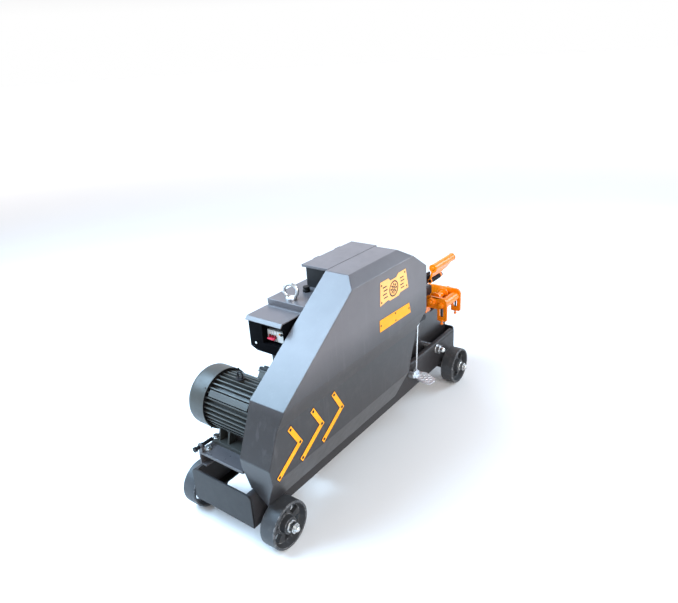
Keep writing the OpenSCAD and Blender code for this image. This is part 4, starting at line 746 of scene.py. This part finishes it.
class REBARCUTTER_OT_switch_box(PieceOperator, bpy.types.Operator):
    """Switch box with the breaker, its toggles, the push button and the lamp"""
    bl_idname = "rebarcutter.switch_box"
    bl_label = "Switch box"

    def make(self):
        softened("switch_box", "switch_box_sheet", "switch_paint", "frame", 0.8)
        softened("breaker", "breaker_shell", "white_plastic", "frame", 0.5)
        seams = Shape()
        for y in (-14.0, -4.0):
            for low, high in ((581.0, 585.8), (604.2, 618.5)):
                seams.box((210.8, y - 0.35, low), (211.4, y + 0.35, high))
        seams.box((210.7, -27.4, 581.0), (211.4, -26.6, 618.6))
        seams.piece("breaker_seams", "black_plastic", "frame")
        screws = Shape()
        head = [(0, 0.9), (1.6, 0.8), (2.1, 0.3), (2.1, -0.6), (0, -0.6)]
        for y in BREAKER_POLES_Y:
            for z in (583.4, 614.6):
                screws.turned(head, (BREAKER_FACE_X, y, z), -X, 20)
        screws.piece("breaker_screws", "zinc_plate", "frame")
        levers = Shape()
        for y in TOGGLES_Y:
            levers.box((205.6, y - 2.8, 592.0), (213.0, y + 2.8, 602.6), 2.0, 4)
        levers.bar((212, -25.7, 595), (212, 7.7, 595), 3.0, 24, 0.4)
        levers.piece("breaker_toggle_levers", "red_plastic", "toggle", ("breaker_toggle",))
        tie = Shape()
        tie.box((198.5, -24, 589.5), (207.0, 6, 595.5), 1.4, 3)
        tie.piece("breaker_toggle_bar", "bar_red", "toggle")
        softened("push_button", "push_button_cap", "black_plastic", "button", 0.6)
        cap = Shape()
        cap.turned([(0, 2.4), (2.4, 2.0), (4.2, 0.8), (4.5, -0.6), (0, -0.6)],
                   (186, 45, 572), -X, 24)
        cap.piece("switch_box_cap", "white_plastic", "frame")
        shell = Shape()
        shell.box((211.3, -70.5, 581.2), (223.6, -56.3, 618.8), 0.5)
        shell.piece("breaker_shell_end", "white_plastic", "frame")
        lamp = Shape()
        lamp.turned([(0, 3.2), (1.8, 2.8), (3.0, 1.6), (3.5, 0.0), (3.5, -1.0), (0.0, -1.0)],
                    (BREAKER_FACE_X, -40.5, 611.0), -X, 32)
        lamp.piece("amber_lamp", "lamp", "frame")


class REBARCUTTER_OT_tool_box(PieceOperator, bpy.types.Operator):
    """Tool box and its lid"""
    bl_idname = "rebarcutter.tool_box"
    bl_label = "Tool box"

    def make(self):
        softened("tool_box", "tool_box_sheet", "plate_shade_and_box_paint", "frame", 0.8)
        softened("tool_box_lid", "tool_box_lid_sheet", "graphite_paint", "lid", 0.8)


# Belt guard


class REBARCUTTER_OT_guard(PieceOperator, bpy.types.Operator):
    """Folded belt guard and its fixings"""
    bl_idname = "rebarcutter.guard"
    bl_label = "Belt guard"

    def make(self):
        sheet = Shape()
        sheet.node("belt_guard")
        spare = []
        for face in sheet.bm.faces:
            inward = (face.calc_center_median() - GUARD_INSIDE).dot(face.normal) <= 0
            narrow = face.calc_area() < 1.2 * face.calc_perimeter()
            lug = all(v.co.y > GUARD_BACK_Y for v in face.verts)
            if inward or narrow or lug:
                spare.append(face)
        bmesh.ops.delete(sheet.bm, geom=spare, context="FACES")
        sheet.round_off(list(sheet.bm.verts), sizes().sheet_edge / MM, 3, 6.0)
        sheet.piece("guard_sheet", "graphite_paint", "frame", ("belt_guard",), wall=2.0)
        lugs = Shape()
        for x in GUARD_LUGS_X:
            lugs.plate([(x - 18, 606), (x - 16, 604), (x + 16, 604), (x + 18, 606),
                        (x + 18, 771.5), (x - 18, 771.5)], -91.0, -88.0, 0.6)
        lugs.piece("guard_lugs", "graphite_paint", "frame")
        softened("guard_fixings", "guard_bolts_plated", "zinc_plate", "frame", 0.7)


class REBARCUTTER_OT_guard_trim(PieceOperator, bpy.types.Operator):
    """Chevrons, ornament plate, bare name plate and their rivets"""
    bl_idname = "rebarcutter.guard_trim"
    bl_label = "Guard trim"

    def make(self):
        edging, paint, rivets = Shape(), Shape(), Shape()
        for row in range(3):
            places = [Vector((x + row * CHEVRON_PITCH, GUARD_BEND_Z + z + row * 3))
                      for x, z in CHEVRON]
            edging.plate(mitred(places, 11.0), PANEL_Y - 0.6, PANEL_Y + 0.3)
            paint.plate(mitred(places, 9.0), PANEL_Y - 1.0, PANEL_Y - 0.5, 0.2)
            for place in places:
                rivet(rivets, place.x, PANEL_Y - 1.0, place.y, 5.2)
        front = GUARD_FRONT_Y
        ground = Shape()
        for outline, colour in ((NAME_PLATE, paint), (ORNAMENT_PLATE, ground)):
            edging.plate(outline, front - 0.6, front + 0.3)
            colour.plate(outline, front - 1.0, front - 0.5, 0.2, inset=2.6)
        for x, z in PLATE_RIVETS:
            rivet(rivets, x, front - 1.0, z, 3.8)
        motif = Shape()
        centre = (MOTIF_X, front - 0.9, MOTIF_Z)
        motif.turned([(24.5, 0.0), (29.0, 0.0), (29.0, 0.5), (24.5, 0.5)], centre, -Y, 64)
        motif.turned([(4.5, 0.0), (8.5, 0.0), (8.5, 0.5), (4.5, 0.5)], centre, -Y, 32)
        spoke = [(-3.4, 11.0), (3.4, 11.0), (2.4, 20.0), (-2.4, 20.0)]
        for count in range(8):
            turn = Matrix.Translation(centre) @ Matrix.Rotation(math.radians(45 * count), 4, "Y")
            motif.placed(motif.plate(spoke, -0.5, 0.0), turn)
        for row in range(4):
            for low in (538.0 + 5 * (row % 2), 650.0 + 5 * (row % 2)):
                z = 690.0 - 13 * row
                motif.box((low, front - 1.4, z - 2.0), (low + 24, front - 0.9, z + 2.0))
        edging.piece("guard_trim_edging", "plate_line", "frame", ("guard_plates",))
        paint.piece("guard_trim_paint", "amber_paint", "frame")
        ground.piece("ornament_plate", "plate_ground", "frame")
        motif.piece("ornament_motif", "plate_line", "frame")
        rivets.piece("guard_trim_rivets", "black_paint", "frame")


def mitred(places, half):
    """The outline of a strip through three places, `half` wide to each side, with a mitred
    corner."""
    a, b = (places[1] - places[0]).normalized(), (places[2] - places[1]).normalized()
    side_a, side_b = Vector((-a.y, a.x)), Vector((-b.y, b.x))
    corner = (side_a + side_b) / (1 + side_a.dot(side_b)) * half
    return (places[0] + (side_a - a) * half, places[1] + corner, places[2] + (side_b + b) * half,
            places[2] + (b - side_b) * half, places[1] - corner, places[0] - (side_a + a) * half)


def rivet(shape, x, y, z, radius):
    """A domed rivet head that faces the near side."""
    shape.turned([(0, 1.3), (radius * 0.55, 1.1), (radius * 0.9, 0.5), (radius, -0.4), (0, -0.4)],
                 (x, y, z), -Y, 20)


# Head


class REBARCUTTER_OT_roller_frame(PieceOperator, bpy.types.Operator):
    """Roller brackets, rollers and height screws"""
    bl_idname = "rebarcutter.roller_frame"
    bl_label = "Roller frame"

    def make(self):
        softened("roller_brackets", "roller_bracket_plates", "orange_paint", "frame", 1.8, 3)
        softened("inner_roller", "flanged_roller", "orange_paint", "flanged_roller", 1.6, 3)
        softened("outer_roller", "plain_roller", "orange_paint", "plain_roller", 1.4, 3)
        softened("height_screws", "height_screw_set", "screw_paint", "roller_carrier", 0.8)


class REBARCUTTER_OT_hold_down(PieceOperator, bpy.types.Operator):
    """Hold-down bracket, spring, arm and roller"""
    bl_idname = "rebarcutter.hold_down"
    bl_label = "Hold-down"

    def make(self):
        softened("hold_down_bracket", "hold_down_bracket_plate", "black_paint", "frame", 0.9)
        softened("hold_down_arm", "hold_down_arm_plate", "orange_paint", "hold_arm", 1.2, 3)
        softened("hold_down_roller", "hold_down_roller_tube", "orange_paint", "hold_roller", 1.4, 3)
        wire = Shape()
        wire.coil((SPRING_START_X, HOLD_PIN_Y, HOLD_PIN_Z), 9.7, 2.0, 7.2, 9)
        wire.piece("hold_down_spring_wire", "black_paint", "frame", ("hold_down_spring",))


def inside(point, outline, margin):
    """Whether a point is inside a convex outline by at least the margin."""
    for (x0, y0), (x1, y1) in zip(outline, outline[1:] + outline[:1]):
        length = math.hypot(x1 - x0, y1 - y0)
        if ((x1 - x0) * (point[1] - y0) - (y1 - y0) * (point[0] - x0)) / length < margin:
            return False
    return True


class REBARCUTTER_OT_pedal(PieceOperator, bpy.types.Operator):
    """Foot pedal, pull rod and clutch lever"""
    bl_idname = "rebarcutter.pedal"
    bl_label = "Pedal"

    def make(self):
        softened("pedal", "pedal_plate", "worn_zinc", "foot_pedal", 0.8)
        tread = Shape()
        slab = (Matrix.Translation(PEDAL + Vector((0, 3, -12)))
                @ Matrix.Rotation(math.radians(4), 4, "Y")
                @ Matrix.Rotation(math.radians(8), 4, "X"))
        count = sizes().tread_bars
        step = PEDAL_DEPTH / count
        for row in range(count):
            for column in range(count):
                x, y = step * (column + 0.5), -step * (row + 0.5)
                if not inside((x / PEDAL_WIDTH, -y / PEDAL_DEPTH), PEDAL_PLATE, 0.055):
                    continue
                turn = Matrix.Rotation(math.radians(45 if (row + column) % 2 else -45), 4, "Z")
                tread.placed(tread.box((-5.4, -1.5, -0.8), (5.4, 1.5, 1.5), 0.8),
                             slab @ Matrix.Translation((x, y, 0)) @ turn)
        tread.piece("pedal_tread", "tread_plate", "foot_pedal")
        softened("pull_rod", "pull_rod_plated", "zinc_plate", "pedal_rod", 0.5)
        softened("clutch_lever", "clutch_lever_plate", "black_paint", "lever", 0.8)


# Stage


class REBARCUTTER_OT_stage(PieceOperator, bpy.types.Operator):
    """Pale floor, soft studio light and the camera"""
    bl_idname = "rebarcutter.stage"
    bl_label = "Stage"

    def make(self):
        scene = bpy.context.scene
        floor = bmesh.new()
        bmesh.ops.create_grid(floor, x_segments=2, y_segments=2, size=sizes().floor_size / 2)
        mesh = bpy.data.meshes.new("pale_floor")
        floor.to_mesh(mesh)
        floor.free()
        f = Finish("pale_floor", 0.8)
        f.colour(f.mix(f.noise(1.5, 3.0), (0.84, 0.84, 0.84), (0.88, 0.88, 0.88)))
        # Painted light: the floor's emission rises with distance from the machine, so the far floor
        # glows white
        f.link(f.span(f.reach(), FLOOR_GLOW_FROM, FLOOR_GLOW_TO, 0.0, FLOOR_GLOW),
               f.shader.inputs["Emission Strength"])
        f.shader.inputs["Emission Color"].default_value = (1.0, 1.0, 1.0, 1.0)
        mesh.materials.append(f.material)
        obj = bpy.data.objects.new("pale_floor", mesh)
        scene.collection.objects.link(obj)
        scene.world = self.sky()
        scene.view_settings.view_transform = "Standard"
        for softbox in SOFTBOXES:
            self.softbox(scene, *softbox)
        lens = bpy.data.cameras.new("photo_camera")
        lens.sensor_width = SENSOR_WIDTH
        lens.lens = LENS
        camera = bpy.data.objects.new("photo_camera", lens)
        right, up, ahead = (Vector(axis).normalized() for axis in CAMERA_AXES)
        turn = Matrix((right, up, -ahead)).transposed().to_4x4()
        camera.matrix_world = Matrix.Translation(CAMERA_PLACE) @ turn
        scene.collection.objects.link(camera)
        scene.camera = camera

    @staticmethod
    def sky():
        """White at the horizon, grey above, with a soft mauve glow behind the machine."""
        world = bpy.data.worlds.new("studio")
        world.use_nodes = True
        tree = world.node_tree
        link = tree.links.new

        def node(kind, **settings):
            """A new node, with its own settings."""
            made = tree.nodes.new("ShaderNode" + kind)
            for key, value in settings.items():
                setattr(made, key, value)
            return made

        def rise(value, low, high, **settings):
            """0 below low and 1 above high."""
            made = node("MapRange", **settings)
            made.inputs["From Min"].default_value = low
            made.inputs["From Max"].default_value = high
            link(value, made.inputs["Value"])
            return made.outputs["Result"]

        way = node("TexCoord").outputs["Generated"]
        split = node("SeparateXYZ")
        link(way, split.inputs[0])
        ramp = node("ValToRGB")
        link(split.outputs["Z"], ramp.inputs["Fac"])
        for stop, (place, colour) in zip(ramp.color_ramp.elements, SKY_STOPS):
            stop.position = place
            stop.color = colour
        facing = node("VectorMath", operation="DOT_PRODUCT")
        facing.inputs[1].default_value = Vector(GLOW_WAY).normalized()
        link(way, facing.inputs[0])
        share = node("Math", operation="MULTIPLY")
        link(rise(facing.outputs["Value"], 0.8, 0.97, interpolation_type="SMOOTHSTEP"),
             share.inputs[0])
        link(rise(split.outputs["Z"], 0.1, 0.24), share.inputs[1])
        glow = node("Background")
        glow.inputs["Color"].default_value = GLOW_COLOUR
        link(share.outputs["Value"], glow.inputs["Strength"])
        plain = tree.nodes["Background"]
        link(ramp.outputs["Color"], plain.inputs["Color"])
        both = node("AddShader")
        link(plain.outputs["Background"], both.inputs[0])
        link(glow.outputs["Background"], both.inputs[1])
        link(both.outputs["Shader"], tree.nodes["World Output"].inputs["Surface"])
        return world

    @staticmethod
    def softbox(scene, name, place, target, size, power, colour):
        light = bpy.data.lights.new(name, "AREA")
        light.shape = "SQUARE"
        light.size = size
        light.energy = power
        light.color = colour
        obj = bpy.data.objects.new(name, light)
        aim = (Vector(target) - Vector(place)).to_track_quat("-Z", "Y").to_matrix().to_4x4()
        obj.matrix_world = Matrix.Translation(place) @ aim
        scene.collection.objects.link(obj)


# Panel and registration


PIECE_OPERATORS = (
    REBARCUTTER_OT_base_frame,
    REBARCUTTER_OT_wheels,
    REBARCUTTER_OT_motor,
    REBARCUTTER_OT_drive,
    REBARCUTTER_OT_body,
    REBARCUTTER_OT_switch_box,
    REBARCUTTER_OT_tool_box,
    REBARCUTTER_OT_guard,
    REBARCUTTER_OT_guard_trim,
    REBARCUTTER_OT_roller_frame,
    REBARCUTTER_OT_hold_down,
    REBARCUTTER_OT_pedal,
    REBARCUTTER_OT_stage,
)


class REBARCUTTER_PT_pieces(bpy.types.Panel):
    """Lists the machine's pieces, paints and sizes"""
    bl_idname = "REBARCUTTER_PT_pieces"
    bl_label = "Rebar cutting machine"
    bl_space_type = "VIEW_3D"
    bl_region_type = "UI"
    bl_category = "Rebar cutter"

    def draw(self, context):
        column = self.layout.column(align=True)
        for operator in PIECE_OPERATORS:
            column.operator(operator.bl_idname)
        for group in (context.scene.rebar_cutter_paints, context.scene.rebar_cutter_sizes):
            box = self.layout.box()
            for key in group.bl_rna.properties.keys():
                if key not in ("rna_type", "name"):
                    box.prop(group, key)


CLASSES = (RebarCutterPaints, RebarCutterSizes, *PIECE_OPERATORS, REBARCUTTER_PT_pieces)


def register():
    for cls in CLASSES:
        bpy.utils.register_class(cls)
    bpy.types.Scene.rebar_cutter_paints = PointerProperty(type=RebarCutterPaints)
    bpy.types.Scene.rebar_cutter_sizes = PointerProperty(type=RebarCutterSizes)


def unregister():
    del bpy.types.Scene.rebar_cutter_sizes
    del bpy.types.Scene.rebar_cutter_paints
    for cls in reversed(CLASSES):
        bpy.utils.unregister_class(cls)


def main():
    register()
    make_finishes()
    for operator in PIECE_OPERATORS:
        group, name = operator.bl_idname.split(".")
        getattr(getattr(bpy.ops, group), name)()


if __name__ == "__main__":
    main()
